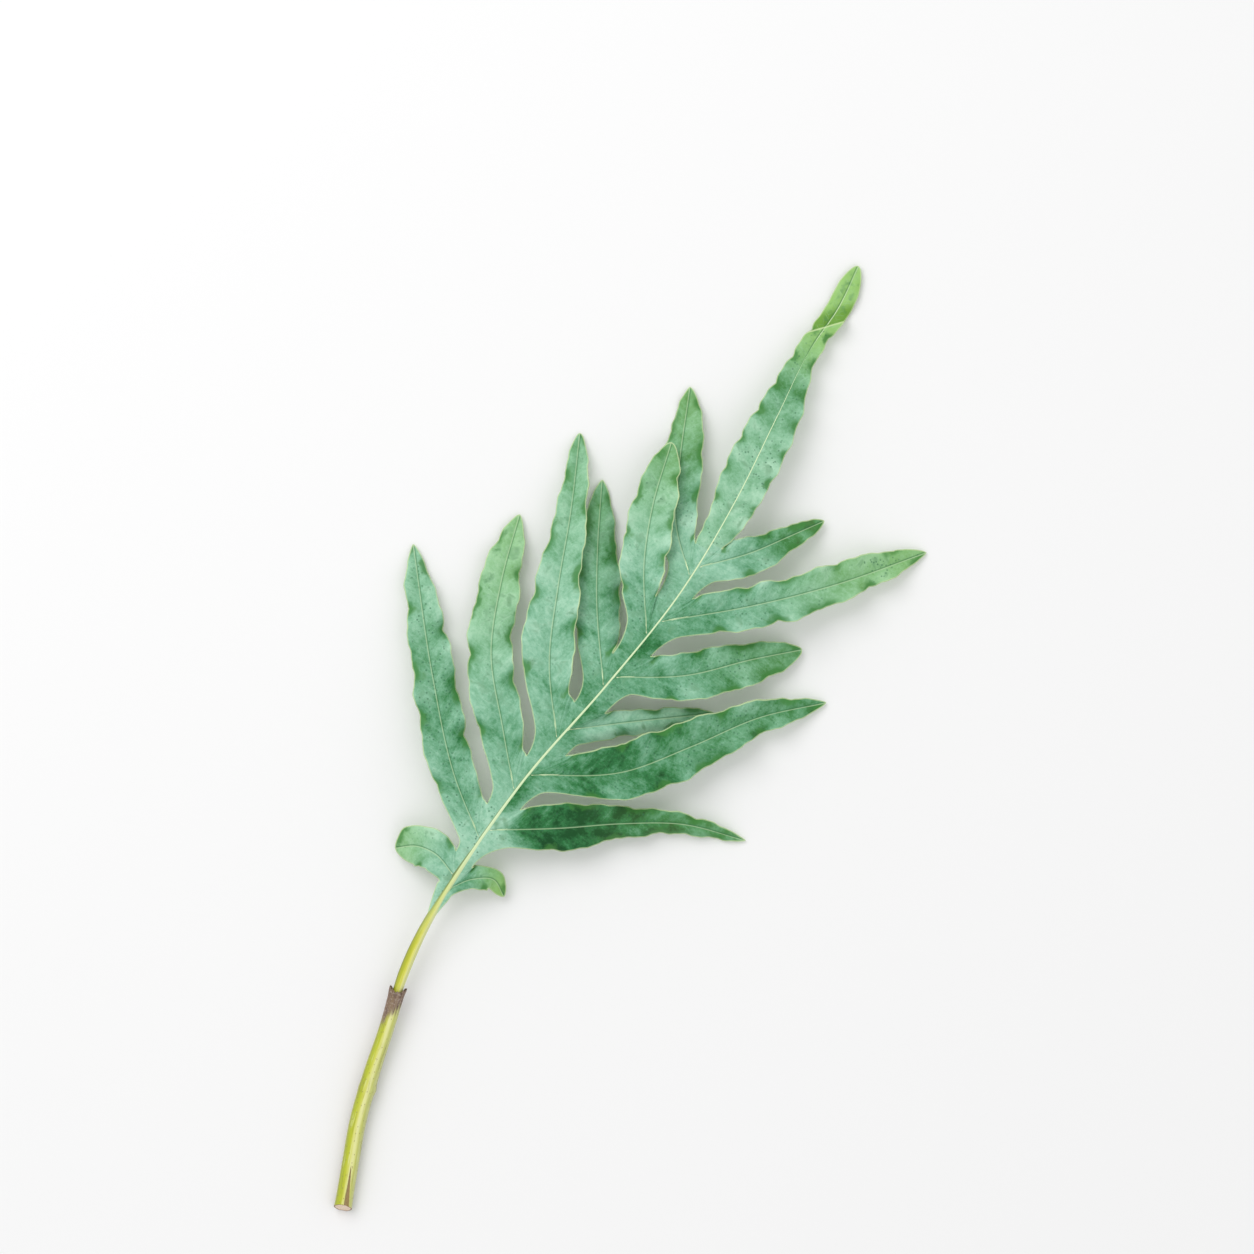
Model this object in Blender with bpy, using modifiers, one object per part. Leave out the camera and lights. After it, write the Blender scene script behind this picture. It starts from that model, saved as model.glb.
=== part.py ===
"""A picked fern frond of the blue-star kind, lying face up on a flat surface.

Three pieces make it: lower_stem, the thick foot of the stalk with its cut end and its ragged
collar; stalk, the stipe that comes out of that collar and runs on as the rachis under the leaf;
and blade, the leaf sheet with all its lobes joined by a wing along the rachis.

Plan sizes are in millimetres from the middle of the cut end, with +Y along the frond towards
its tip. ORIGIN moves them, so that the finished frond stands on z = 0 about its own middle.
"""

import math

import bmesh
import bpy
import numpy as np

MM = 0.001
COLLECTION = "fern_frond"
ORIGIN = np.array([-12.5, 228.8, 0.0])

# The stalk's centre line: station along the frond, sideways place and height.
AXIS = np.array([
    (0, -0.8, 4.0), (18, -7.0, 4.1), (34, -12.4, 4.5), (53, -16.8, 5.2), (80, -21.6, 7.0), (96, -25, 8.6),
    (119, -27.1, 11), (134, -26.9, 12.8), (165, -24.3, 16), (200, -19.5, 18.8), (250, -8.3, 21.2),
    (300, 0.5, 21.2), (345, 2.4, 18), (385, 0.8, 12.4), (418, -0.4, 7.2), (440, 1.7, 4.4), (459, 0.6, 1.8),
])
TIP_Y = AXIS[-1, 0]

# Lower stem: radius by station, its flare at the cut, its leaf scar, and the collar at its top.
FOOT_STATIONS = np.array([0, 20, 50, 72, 84, 93.0])
FOOT_RADII = np.array([3.65, 3.65, 3.6, 3.3, 3.3, 3.5])
CUT_FLARE = 0.45
CUT_FLARE_LENGTH = 4.0
SCAR_Y = 49.0
SCAR_RISE = 0.35
SCAR_LENGTH = 2.5
COLLAR_Y = 93.0
SOCKET_DEPTH = 12.0
EAR_DEPTH = 3.0
GAP = 0.3

# Stipe and rachis: radius by station, from inside the collar nearly to the tip.
RACHIS_STATIONS = np.array([80, 93, 100, 110, 120, 130, 142, 165, 180, 200, 250, 310, 380, 424.0])
RACHIS_RADII = np.array([1.8, 2.1, 2.3, 2.25, 2.05, 1.78, 1.5, 1.38, 1.3, 1.15, 0.95, 0.8, 0.6, 0.4])
STIPE_STEP = 6.0
RACHIS_STEP = 12.0
STIPE_TOP_Y = 130.0

SHEET = 0.6
SHEET_CLEARANCE = 0.4
RIB_RISE = 0.5
RIB_HALF_WIDTH = 1.6
WING_FOOT_Y = 126.0
# How far the wing stands out beside each lowest lobe, and how far below its root, left and right.
WING_REACH = {-1: (5.4, 6.0), 1: (2.9, 3.6)}
WING_POWER = 0.7
WING_SAG = 1.2

# Notch between each lobe and the next one, from the foot of the wing to the terminal lobe.
LEFT_NOTCHES = ((-31, 157), (-29, 181), (-24, 207), (-17, 237), (-12.5, 263), (-8, 293), (-4, 321))
RIGHT_NOTCHES = ((-21.5, 154), (-15, 185.5), (-9, 215), (-3, 239), (2.5, 269.5), (6.5, 299.5), (7, 324))

# Share of a lobe's length at which its half-widths are given. Past the last one they shrink to
# LAST_WIDTH of it, and the rounded cap closes the tip.
WIDTH_STATIONS = (0.0, 0.08, 0.3, 0.5, 0.7, 0.9, 1.0)
LAST_WIDTH = 0.7


class Lobe:
    """One lobe: where its midrib runs, how wide it is on each side, how it droops and how it ends."""

    def __init__(self, root, midrib, basal, apical, arch, tip, lift, waves, scallop, cap=(0.86, 0.65)):
        self.root = root
        self.midrib = midrib
        self.widths = {"basal": basal, "apical": apical}
        self.arch = arch
        self.tip = tip
        self.lift = dict(zip(("basal", "apical"), lift))
        self.waves = waves
        self.scallop = scallop
        self.cap = cap


LEFT_LOBES = (
    Lobe(147, ((-39, 151.5), (-46.5, 150.5), (-54.5, 145)), (6, 7.4, 8, 8.4, 8), (6, 8.6, 9.2, 9.2, 8.8),
         2.6, 4.0, (-1, 0), 2.0, 0.3, (0.62, 0.5)),
    Lobe(166, ((-46, 184), (-75, 217), (-110, 263)), (8, 9.4, 9, 7.4, 5.2), (8.4, 9.4, 9.8, 8.8, 5.2),
         1.7, 1.0, (1, -1), 5.2, 1.3),
    Lobe(191, ((-38, 212), (-58, 238), (-69, 267), (-76, 296)),
         (8.6, 10.8, 10.2, 9.6, 6.6), (7, 9.2, 9, 8.6, 5.6), 1.7, 1.6, (-1, 1), 4.6, 1.1, (0.86, 0.6)),
    Lobe(219, ((-34, 246), (-47, 278), (-57, 307), (-70, 339)),
         (8.8, 12, 10, 7, 4.2), (7, 10.4, 9.4, 7.4, 4.8), 2.2, 1.0, (0, 3), 4.8, 0.8, (0.9, 0.5)),
    Lobe(248, ((-29, 279), (-40, 300), (-52, 326)), (8.4, 9.6, 8.6, 7.2, 4.6), (6.5, 9, 10.2, 7.8, 4.6),
         1.1, 1.0, (-3, -3), 4.0, 0.7),
    Lobe(276, ((-20, 305), (-27.5, 326), (-33.5, 354)),
         (7.8, 10, 9.8, 8.6, 5.8), (6.4, 8.3, 10.4, 9.8, 6.6), 2.0, 10.5, (1, 3.5), 4.4, 0.8, (0.85, 0.5)),
    Lobe(307, ((-15, 324), (-25, 345), (-38, 379)), (7, 8, 8, 6.6, 3.8), (7, 8.8, 9.8, 9.4, 6),
         0.85, 1.4, (-3.5, 1), 4.0, 0.5),
)
RIGHT_LOBES = (
    Lobe(140, ((-19, 149.5), (-11, 153.5), (-3.5, 149)), (3, 3.6, 5.1, 5, 4.4), (4.6, 5, 4.8, 4.4, 4),
         2.8, 4.0, (-1, -1), 2.0, 0.3, (0.58, 0.5)),
    Lobe(171, ((4, 187), (26, 201), (49, 213), (76, 219.5)),
         (7.8, 9.8, 6.6, 4.8, 3), (8.4, 10.4, 7.8, 5.2, 3), 1.6, 1.0, (-3, 1), 4.6, 0.6),
    Lobe(200, ((16, 221), (36, 244), (56, 269), (78, 288)), (7.6, 11.4, 12, 8.4, 5), (8, 12, 11.8, 8.6, 5),
         2.2, 1.4, (0, 3), 5.4, 0.9),
    Lobe(225, ((13, 244), (38, 261)), (7, 6, 5.6, 5, 3.6), (7, 5.6, 4.8, 4.2, 3.2),
         0.9, 4.0, (-4, -1), 3.0, 0.4, (0.8, 0.6)),
    Lobe(254, ((20, 270), (41, 289), (58, 303)), (7.4, 10.2, 11, 10.8, 7.4), (7.4, 9, 9.6, 7.6, 5),
         1.8, 3.0, (1, -1), 3.8, 0.5, (0.84, 0.5)),
    Lobe(284, ((30, 309), (58, 335), (85, 365)), (8, 9.4, 9.8, 7, 4.2), (7.6, 8.8, 8.4, 8.8, 6),
         1.8, 1.0, (1, 1), 5.4, 1.1),
    Lobe(312, ((19, 329), (30, 343), (40, 356)), (7.8, 9.4, 8.8, 6.2, 3.8), (7.4, 7.4, 6, 4.6, 3.4),
         1.5, 3.0, (1, -1), 3.2, 0.5),
)

# The terminal lobe lies along the axis, so its half-widths are given by station.
END_STATIONS = np.array([321, 335, 350, 377, 393, 410, 422, 435, 450, 459.0])
END_WIDTHS = {
    "basal": np.array([6.5, 7.5, 10.6, 10.2, 8.2, 6, 5.2, 5, 4.9, 3.8]),
    "apical": np.array([6.5, 8.6, 9.8, 10.6, 9, 5.2, 4.6, 5.4, 5.2, 4.2]),
}
END_CAP_Y = 445.0
END_WAVES = 6.5
END_SCALLOP = 0.9
END_FOLD_Y = 430.0
END_FOLD_X = 2.0
END_FOLD_SLANT = 1.0
END_FOLD_DROP = 2.2
END_FOLD_LENGTH = 3.0
END_FOLD_FADE = (438.0, 459.0)

# Waves of the margin: where along a wave each side starts, and how unevenly the waves follow.
PHASE_START = {"basal": 0.35, "apical": 0.8}
PHASE_WOBBLE = 0.12
PHASE_WOBBLE_RATE = 4.3
CREST_POWER = 0.6
CREST_LEVEL = 0.7

LOBE_ROWS = 14
ROW_SPACING = 7.0
COLUMNS = (0.0, 0.12, 0.55, 1.0)
NOTCH_PULL = {"basal": 1.0, "apical": 2.0}
MOST_PULL = 0.6
FRILL = 0.9


def clear_scene():
    for item in list(bpy.data.objects):
        bpy.data.objects.remove(item, do_unlink=True)


def through(stations, values, at):
    """Smooth curve through the values, with each slope taken from the neighbours."""
    stations = np.asarray(stations, float)
    values = np.asarray(values, float)
    at = np.asarray(at, float)
    slopes = np.gradient(values, stations, axis=0)
    i = np.clip(np.searchsorted(stations, at) - 1, 0, len(stations) - 2)
    step = stations[i + 1] - stations[i]
    t = (at - stations[i]) / step
    if values.ndim > 1:
        step, t = step[..., None], t[..., None]
    rise = values[i + 1] - values[i]
    bend = slopes[i] * (1 - t) - slopes[i + 1] * t
    return values[i] + rise * t**2 * (3 - 2 * t) + step * t * (1 - t) * bend


def smoothstep(value):
    value = np.clip(value, 0.0, 1.0)
    return value * value * (3.0 - 2.0 * value)


def rachis_radius(y):
    return np.interp(y, RACHIS_STATIONS, RACHIS_RADII)


def axis_point(y):
    """Centre of the stalk at each station."""
    y = np.asarray(y, float)
    return through(AXIS[:, 0], AXIS[:, (1, 0, 2)], y)


def sheet_point(y):
    """Middle of the leaf sheet where it crosses over the stalk."""
    point = axis_point(y)
    point[..., 2] += rachis_radius(y) + SHEET_CLEARANCE + SHEET / 2
    return point


def rib_rise(y):
    """How far the rib stands above the sheet along the axis, none at the wing's foot and the tip."""
    return RIB_RISE * smoothstep((y - WING_FOOT_Y) / 10.0) * smoothstep((TIP_Y - y) / 40.0)


def axis_stations():
    """Stations that both sides of the leaf share, so that their rows meet along the rachis."""
    marks = [WING_FOOT_Y, TIP_Y]
    marks += [lobe.root for lobe in LEFT_LOBES + RIGHT_LOBES]
    marks += [notch[1] for notch in LEFT_NOTCHES + RIGHT_NOTCHES]
    marks = np.unique(np.array(marks, float))
    filled = [marks[:1]]
    for low, high in zip(marks, marks[1:]):
        count = max(1, math.ceil((high - low) / ROW_SPACING))
        filled.append(np.linspace(low, high, count + 1)[1:])
    return np.concatenate(filled)


def scallops(lobe_waves, depth, share, side):
    """Broad crests and narrow notches along a margin; returns their offset and their phase."""
    phase = lobe_waves * share + PHASE_START[side]
    phase = phase + PHASE_WOBBLE * np.sin(PHASE_WOBBLE_RATE * phase)
    crest = np.abs(np.cos(math.pi * phase)) ** CREST_POWER - CREST_LEVEL
    grow = smoothstep((share - 0.1) / 0.2) * smoothstep((1.0 - share) / 0.15)
    return depth * crest * grow, phase


def midrib_points(lobe):
    """Lobe's midrib in space: LOBE_ROWS + 1 points from the rachis to the lobe's tip."""
    root = sheet_point(lobe.root)
    plan = np.array([root[:2], *lobe.midrib], float)
    run = np.concatenate([[0.0], np.cumsum(np.hypot(*np.diff(plan, axis=0).T))])
    share = np.linspace(0.0, 1.0, LOBE_ROWS + 1)
    line = through(run / run[-1], plan, share)
    height = lobe.tip + (root[2] - lobe.tip) * (1.0 - share**lobe.arch)
    return np.column_stack([line, height]), share


def rounded(past, power):
    """Share of the half-width that is left in a rounded tip, from 1 at its start to 0 at its end."""
    return (1.0 - np.clip(past, 0.0, 1.0) ** 2) ** power


def margin_points(lobe, side, hand, notch):
    """Outer edge of half a lobe, drawn back to the notch over its first stretch."""
    line, share = midrib_points(lobe)
    ahead = np.gradient(line[:, :2], axis=0)
    ahead /= np.linalg.norm(ahead, axis=1)[:, None]
    turn = hand if side == "basal" else -hand
    outward = np.column_stack([ahead[:, 1], -ahead[:, 0]]) * turn
    widths = lobe.widths[side]
    width = through(WIDTH_STATIONS, (widths[0], *widths, LAST_WIDTH * widths[-1]), share)
    offset, phase = scallops(lobe.waves, lobe.scallop, share, side)
    start, power = lobe.cap
    width = np.maximum(width + offset, 0.0) * rounded((share - start) / (1.0 - start), power)
    edge = line.copy()
    edge[:, :2] += outward * width[:, None]
    grown = smoothstep(share / 0.3) * smoothstep((1.0 - share) / 0.2)
    edge[:, 2] += (lobe.lift[side] + FRILL * np.cos(2 * math.pi * phase)) * grown
    length = np.linalg.norm(np.diff(line, axis=0), axis=1).sum()
    reach = min(NOTCH_PULL[side] * np.linalg.norm(notch - edge[0]) / length, MOST_PULL)
    pull = np.clip(1.0 - share / reach, 0.0, 1.0) ** 2
    return edge + (notch - edge[0]) * pull[:, None]


def half_lobe(lobe, side, hand, notch_plan, stations):
    """Inner and outer edge of half a lobe, along the rachis and out to the tip, and the rib's rise.

    The first rows fan out over the web beside the rachis, the rest run along the lobe.
    """
    low, high = sorted((float(lobe.root), float(notch_plan[1])))
    along = stations[(stations >= low) & (stations <= high)]
    if side == "apical":
        along = along[::-1]
    line, share = midrib_points(lobe)
    inner = np.concatenate([sheet_point(along), line[1:]])
    rise = np.concatenate([rib_rise(along), rib_rise(lobe.root) * (1.0 - share[1:] ** 3)])
    if notch_plan[1] == WING_FOOT_Y:
        wing = wing_edge(hand, along)
        edge = margin_points(lobe, side, hand, wing[-1])
    else:
        notch = notch_point(notch_plan)
        edge = margin_points(lobe, side, hand, notch)
        web = np.linspace(0.0, 0.5, len(along))[:, None]
        wing = notch + (edge[1] - notch) * web
    return inner, np.concatenate([wing, edge[1:]]), rise


def wing_edge(hand, along):
    """Edge of the narrow wing beside the stipe, from its foot up to the lowest lobe."""
    share = (along - along[0]) / (along[-1] - along[0])
    reach, drop = WING_REACH[hand]
    edge = sheet_point(along)
    edge[:, 0] += hand * reach * share**WING_POWER
    edge[:, 1] -= drop * share
    return edge


def notch_point(plan):
    """Notch between two lobes, a little lower than the rachis beside it."""
    return np.array([plan[0], plan[1], sheet_point(plan[1])[2] - WING_SAG])


def end_half(side, hand, notch_plan, stations):
    """Half of the terminal lobe, whose inner edge is the axis itself."""
    notch = notch_point(notch_plan)
    along = stations[stations >= notch_plan[1]]
    inner = sheet_point(along)
    share = (along - along[0]) / (along[-1] - along[0])
    offset, phase = scallops(END_WAVES, END_SCALLOP, share, side)
    width = np.maximum(through(END_STATIONS, END_WIDTHS[side], along) + offset, 0.0)
    width = width * rounded((along - END_CAP_Y) / (TIP_Y - END_CAP_Y), 0.5)
    outer = inner.copy()
    outer[:, 0] += hand * width
    grown = smoothstep(share / 0.1) * smoothstep((1 - share) / 0.2)
    outer[:, 2] += FRILL * np.cos(2 * math.pi * phase) * grown
    pull = np.clip(1.0 - share / 0.12, 0.0, 1.0) ** 2
    outer += (notch - outer[0]) * pull[:, None]
    return inner, outer, rib_rise(along)


def end_fold(points):
    """Heights past the slanting crease near the tip, where the leaf drops a step."""
    crease = END_FOLD_Y + END_FOLD_SLANT * (points[:, 0] - END_FOLD_X)
    beyond = (points[:, 1] - crease) / END_FOLD_LENGTH
    start, end = END_FOLD_FADE
    fade = 1.0 - smoothstep((points[:, 1] - start) / (end - start))
    points[:, 2] -= END_FOLD_DROP * smoothstep(beyond) * fade


def grid(inner, outer, rise):
    """Rows of points from the rib to the margin, with the rib itself raised."""
    reach = np.linalg.norm(outer - inner, axis=1)
    rib = np.minimum(RIB_HALF_WIDTH / np.maximum(reach, 1e-6), 0.4)
    shares = np.array(COLUMNS)[None, :].repeat(len(inner), axis=0)
    shares[:, 1] = np.where(reach > 1e-3, rib, 0.0)
    points = inner[:, None, :] + (outer - inner)[:, None, :] * shares[..., None]
    points[:, 0, 2] += rise
    return points


def sheet_mesh():
    """Leaf sheet as one open surface, its half lobes welded along ribs and wing."""
    stations = axis_stations()
    foot = axis_point(WING_FOOT_Y)[:2]
    grids = []
    for hand, lobes, notches in ((-1, LEFT_LOBES, LEFT_NOTCHES), (1, RIGHT_LOBES, RIGHT_NOTCHES)):
        bounds = [tuple(foot), *notches]
        for lobe, below, above in zip(lobes, bounds, bounds[1:]):
            grids.append((grid(*half_lobe(lobe, "basal", hand, below, stations)), hand > 0))
            grids.append((grid(*half_lobe(lobe, "apical", hand, above, stations)), hand < 0))
        side = "basal" if hand < 0 else "apical"
        grids.append((grid(*end_half(side, hand, notches[-1], stations)), hand > 0))
    verts, faces = [], []
    for points, flip in grids:
        rows, columns = points.shape[:2]
        start = len(verts)
        flat = points.reshape(-1, 3)
        verts.extend(flat)
        for i in range(rows - 1):
            for j in range(columns - 1):
                a = start + i * columns + j
                face = (a, a + 1, a + columns + 1, a + columns)
                faces.append(face if flip else face[::-1])
    verts = np.array(verts)
    end_fold(verts)
    return (verts - ORIGIN) * MM, faces


def make_material(name, colour, roughness):
    material = bpy.data.materials.new(name)
    material.use_nodes = True
    shader = material.node_tree.nodes["Principled BSDF"]
    shader.inputs["Base Color"].default_value = (*colour, 1.0)
    shader.inputs["Roughness"].default_value = roughness
    shader.inputs["Metallic"].default_value = 0.0
    return material


def add_object(name, mesh, material, collection):
    item = bpy.data.objects.new(name, mesh)
    collection.objects.link(item)
    mesh.materials.clear()
    mesh.materials.append(material)
    return item


def build_blade(collection):
    """Leaf sheet: the welded surface, thickened evenly to both sides."""
    verts, faces = sheet_mesh()
    mesh = bpy.data.meshes.new("blade")
    mesh.from_pydata([tuple(vert) for vert in verts], [], faces)
    shape = bmesh.new()
    shape.from_mesh(mesh)
    bmesh.ops.remove_doubles(shape, verts=shape.verts, dist=0.02 * MM)
    bmesh.ops.recalc_face_normals(shape, faces=shape.faces)
    shape.to_mesh(mesh)
    shape.free()
    mesh.shade_smooth()
    blade = add_object("blade", mesh, make_material("leaf_green", (0.25, 0.45, 0.28), 0.55), collection)
    skin = blade.modifiers.new("Thickness", "SOLIDIFY")
    skin.thickness = SHEET * MM
    skin.offset = 0.0
    return blade


def tube_curve(name, stations, radii):
    """Tapering tube along the axis, as a curve object with filled caps."""
    data = bpy.data.curves.new(name, "CURVE")
    data.dimensions = "3D"
    data.bevel_depth = MM
    data.bevel_resolution = 3
    data.use_fill_caps = True
    spline = data.splines.new("POLY")
    points = (axis_point(stations) - ORIGIN) * MM
    spline.points.add(len(points) - 1)
    for knot, place, radius in zip(spline.points, points, radii):
        knot.co = (*place, 1.0)
        knot.radius = radius
    return bpy.data.objects.new(name, data)


def solid_from_curve(curve, collection):
    """The curve as a closed mesh, its caps welded to its sides."""
    collection.objects.link(curve)
    bpy.context.view_layer.update()
    graph = bpy.context.evaluated_depsgraph_get()
    mesh = bpy.data.meshes.new_from_object(curve.evaluated_get(graph))
    shape = bmesh.new()
    shape.from_mesh(mesh)
    bmesh.ops.remove_doubles(shape, verts=shape.verts, dist=0.001 * MM)
    bmesh.ops.recalc_face_normals(shape, faces=shape.faces)
    shape.to_mesh(mesh)
    shape.free()
    mesh.name = curve.name
    bpy.data.objects.remove(curve, do_unlink=True)
    return mesh


def build_stalk(collection):
    """Stipe and rachis: one tapering rod from inside the collar nearly to the tip."""
    start = COLLAR_Y - SOCKET_DEPTH
    stipe = np.arange(start, STIPE_TOP_Y, STIPE_STEP)
    rachis = np.arange(stipe[-1] + STIPE_STEP, RACHIS_STATIONS[-1] - STIPE_STEP, RACHIS_STEP)
    stations = np.concatenate([stipe, rachis, RACHIS_STATIONS[-1:]])
    mesh = solid_from_curve(tube_curve("stalk", stations, rachis_radius(stations)), collection)
    mesh.shade_smooth()
    return add_object("stalk", mesh, make_material("stalk_green", (0.47, 0.52, 0.06), 0.5), collection)


def foot_radius(y):
    """Outer radius of the lower stem: flared at the cut, swollen at a scar, wider at the collar."""
    flare = CUT_FLARE * np.exp(-y / CUT_FLARE_LENGTH)
    scar = SCAR_RISE * np.exp(-(((y - SCAR_Y) / SCAR_LENGTH) ** 2))
    return through(FOOT_STATIONS, FOOT_RADII, y) + flare + scar


def subtract(item, cutter, name):
    cut = item.modifiers.new(name, "BOOLEAN")
    cut.operation = "DIFFERENCE"
    cut.object = cutter
    cut.solver = "EXACT"
    cutter.hide_render = True
    cutter.display_type = "WIRE"


def build_lower_stem(collection, cutters):
    """Foot of the stalk: a thick tube with a socket at its top and an open notch between two ears."""
    fine = np.array([0.0, 1.5, 4.0, 8.0, 16, 26, 36, 44, 47, 49, 51, 54, 62, 70, 78, 83, 87, COLLAR_Y])
    mesh = solid_from_curve(tube_curve("lower_stem", fine, foot_radius(fine)), collection)
    mesh.shade_smooth()
    stem = add_object("lower_stem", mesh, make_material("stem_green", (0.55, 0.55, 0.2), 0.55), collection)
    depth = np.linspace(COLLAR_Y - SOCKET_DEPTH - GAP, COLLAR_Y + 6.0, 4)
    bore = solid_from_curve(tube_curve("socket_cutter", depth, rachis_radius(depth) + GAP), cutters)
    subtract(stem, add_object("socket_cutter", bore, stem.active_material, cutters), "Socket")
    mouth = (axis_point(COLLAR_Y) - ORIGIN) * MM
    wedge = bmesh.new()
    bmesh.ops.create_cone(wedge, cap_ends=True, segments=4, radius1=EAR_DEPTH * 0.5 * MM,
                          radius2=EAR_DEPTH * 0.5 * MM, depth=24.0 * MM)
    data = bpy.data.meshes.new("ear_cutter")
    wedge.to_mesh(data)
    wedge.free()
    notch = add_object("ear_cutter", data, stem.active_material, cutters)
    notch.location = mouth
    notch.scale = (1.0, 2.0, 1.0)
    bpy.context.view_layer.update()
    subtract(stem, notch, "Ears")
    return stem


def main():
    clear_scene()
    collection = bpy.data.collections.new(COLLECTION)
    cutters = bpy.data.collections.new("cutters")
    for group in (collection, cutters):
        bpy.context.scene.collection.children.link(group)
    build_lower_stem(collection, cutters)
    build_stalk(collection)
    build_blade(collection)


main()
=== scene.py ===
"""The looks of a picked fern frond of the blue-star kind, lying face up on a pale table.

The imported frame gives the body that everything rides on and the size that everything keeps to.
Plan sizes below are in millimetres from the middle of the cut end, with +Y along the frond to its
tip. ORIGIN moves them onto the frame, where the frond lies on z = 0 about its own middle.
"""

from __future__ import annotations

import logging
import math
from dataclasses import dataclass
from enum import Enum
from typing import Any

import bmesh
import bpy
import numpy as np
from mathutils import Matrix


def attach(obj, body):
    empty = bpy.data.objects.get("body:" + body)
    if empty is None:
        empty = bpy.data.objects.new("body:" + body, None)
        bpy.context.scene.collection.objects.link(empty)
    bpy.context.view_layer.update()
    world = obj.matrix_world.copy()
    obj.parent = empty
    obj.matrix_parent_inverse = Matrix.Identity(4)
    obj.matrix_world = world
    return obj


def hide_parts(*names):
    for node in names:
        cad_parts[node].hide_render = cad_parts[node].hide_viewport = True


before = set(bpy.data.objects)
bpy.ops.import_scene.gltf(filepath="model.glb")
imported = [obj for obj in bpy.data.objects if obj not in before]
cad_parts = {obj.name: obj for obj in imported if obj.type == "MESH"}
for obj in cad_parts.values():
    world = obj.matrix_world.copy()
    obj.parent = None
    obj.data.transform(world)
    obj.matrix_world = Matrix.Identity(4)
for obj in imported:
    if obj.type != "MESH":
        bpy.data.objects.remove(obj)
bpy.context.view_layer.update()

Array = np.ndarray
Tree = bpy.types.NodeTree
Node = bpy.types.Node

LOG = logging.getLogger("fern_frond")
BODY = "root"
MM = 0.001
ORIGIN = np.array([-12.5, 228.8, 0.0])
WELD = 0.015
TURN = 2.0 * math.pi
UP = np.array([0.0, 0.0, 1.0])


class Hand(Enum):
    """Side of the rachis, seen from above with the tip ahead."""

    LEFT = -1
    RIGHT = 1


class Side(Enum):
    """Half of a lobe: towards the cut end of the frond or towards its tip."""

    BASAL = "basal"
    APICAL = "apical"


# ---------------------------------------------------------------- shapes in numpy


def through(stations: Any, values: Any, at: Any) -> Array:
    """Smooth curve through given values.

    Each stretch is a cubic whose end slopes come from the neighbouring values.

    Args:
        stations: Where the values stand, rising.
        values: One number or one point for each station.
        at: Where the curve is wanted.

    Returns:
        The curve's value at each place in at.
    """
    stations = np.asarray(stations, float)
    values = np.asarray(values, float)
    at = np.asarray(at, float)
    slopes = np.gradient(values, stations, axis=0)
    i = np.clip(np.searchsorted(stations, at) - 1, 0, len(stations) - 2)
    step = stations[i + 1] - stations[i]
    t = (at - stations[i]) / step
    if values.ndim > 1:
        step, t = step[..., None], t[..., None]
    rise = values[i + 1] - values[i]
    bend = slopes[i] * (1.0 - t) - slopes[i + 1] * t
    return values[i] + rise * t**2 * (3.0 - 2.0 * t) + step * t * (1.0 - t) * bend


def smoothstep(value: Any) -> Array:
    """Ease from 0 to 1 as value goes from 0 to 1: 3t^2 - 2t^3."""
    value = np.clip(value, 0.0, 1.0)
    return value * value * (3.0 - 2.0 * value)


def bell(distance: Any, width: float) -> Array:
    """Smooth bump that is 1 at distance 0 and falls to 1/e at the given width."""
    return np.exp(-((np.asarray(distance, float) / width) ** 2))


def unit(vectors: Array) -> Array:
    """The same directions, each one long."""
    return vectors / np.maximum(np.linalg.norm(vectors, axis=-1, keepdims=True), 1e-9)


def run_of(line: Array) -> Array:
    """Length along a broken line at each of its points."""
    return np.concatenate([[0.0], np.cumsum(np.linalg.norm(np.diff(line, axis=0), axis=1))])


def doubled_ends(rows: Array) -> Array:
    """The same rows with the first and the last one twice, so that a rod can be closed there."""
    return np.concatenate([rows[:1], rows, rows[-1:]])


def distance_to(points: Array, line: Array) -> Array:
    """Plan distance from each point to the nearest stretch of a broken line.

    A point's foot on each stretch is its projection, held between the stretch's two ends.

    Args:
        points: Points, in an array of any shape with x and y first in its last axis.
        line: Points of the broken line.

    Returns:
        One distance for each point, in the shape of points without its last axis.
    """
    flat = points[..., :2].reshape(-1, 1, 2)
    start, end = line[None, :-1, :2], line[None, 1:, :2]
    step = end - start
    length = np.maximum((step**2).sum(-1), 1e-12)
    t = np.clip(((flat - start) * step).sum(-1) / length, 0.0, 1.0)
    foot = start + step * t[..., None]
    nearest = np.sqrt(((flat - foot) ** 2).sum(-1)).min(axis=1)
    return nearest.reshape(points.shape[:-1])


@dataclass
class Patch:
    """One grid of points, with the numbers that its finish reads at each of them.

    Attributes:
        points: Rows by columns of places in millimetres, from the cut end.
        values: Name of each surface attribute, with rows by columns of numbers.
        turned: Whether the faces run the other way round.
        finish: Which of the piece's finishes it wears.
    """

    points: Array
    values: dict[str, Array]
    turned: bool = False
    finish: int = 0


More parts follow.
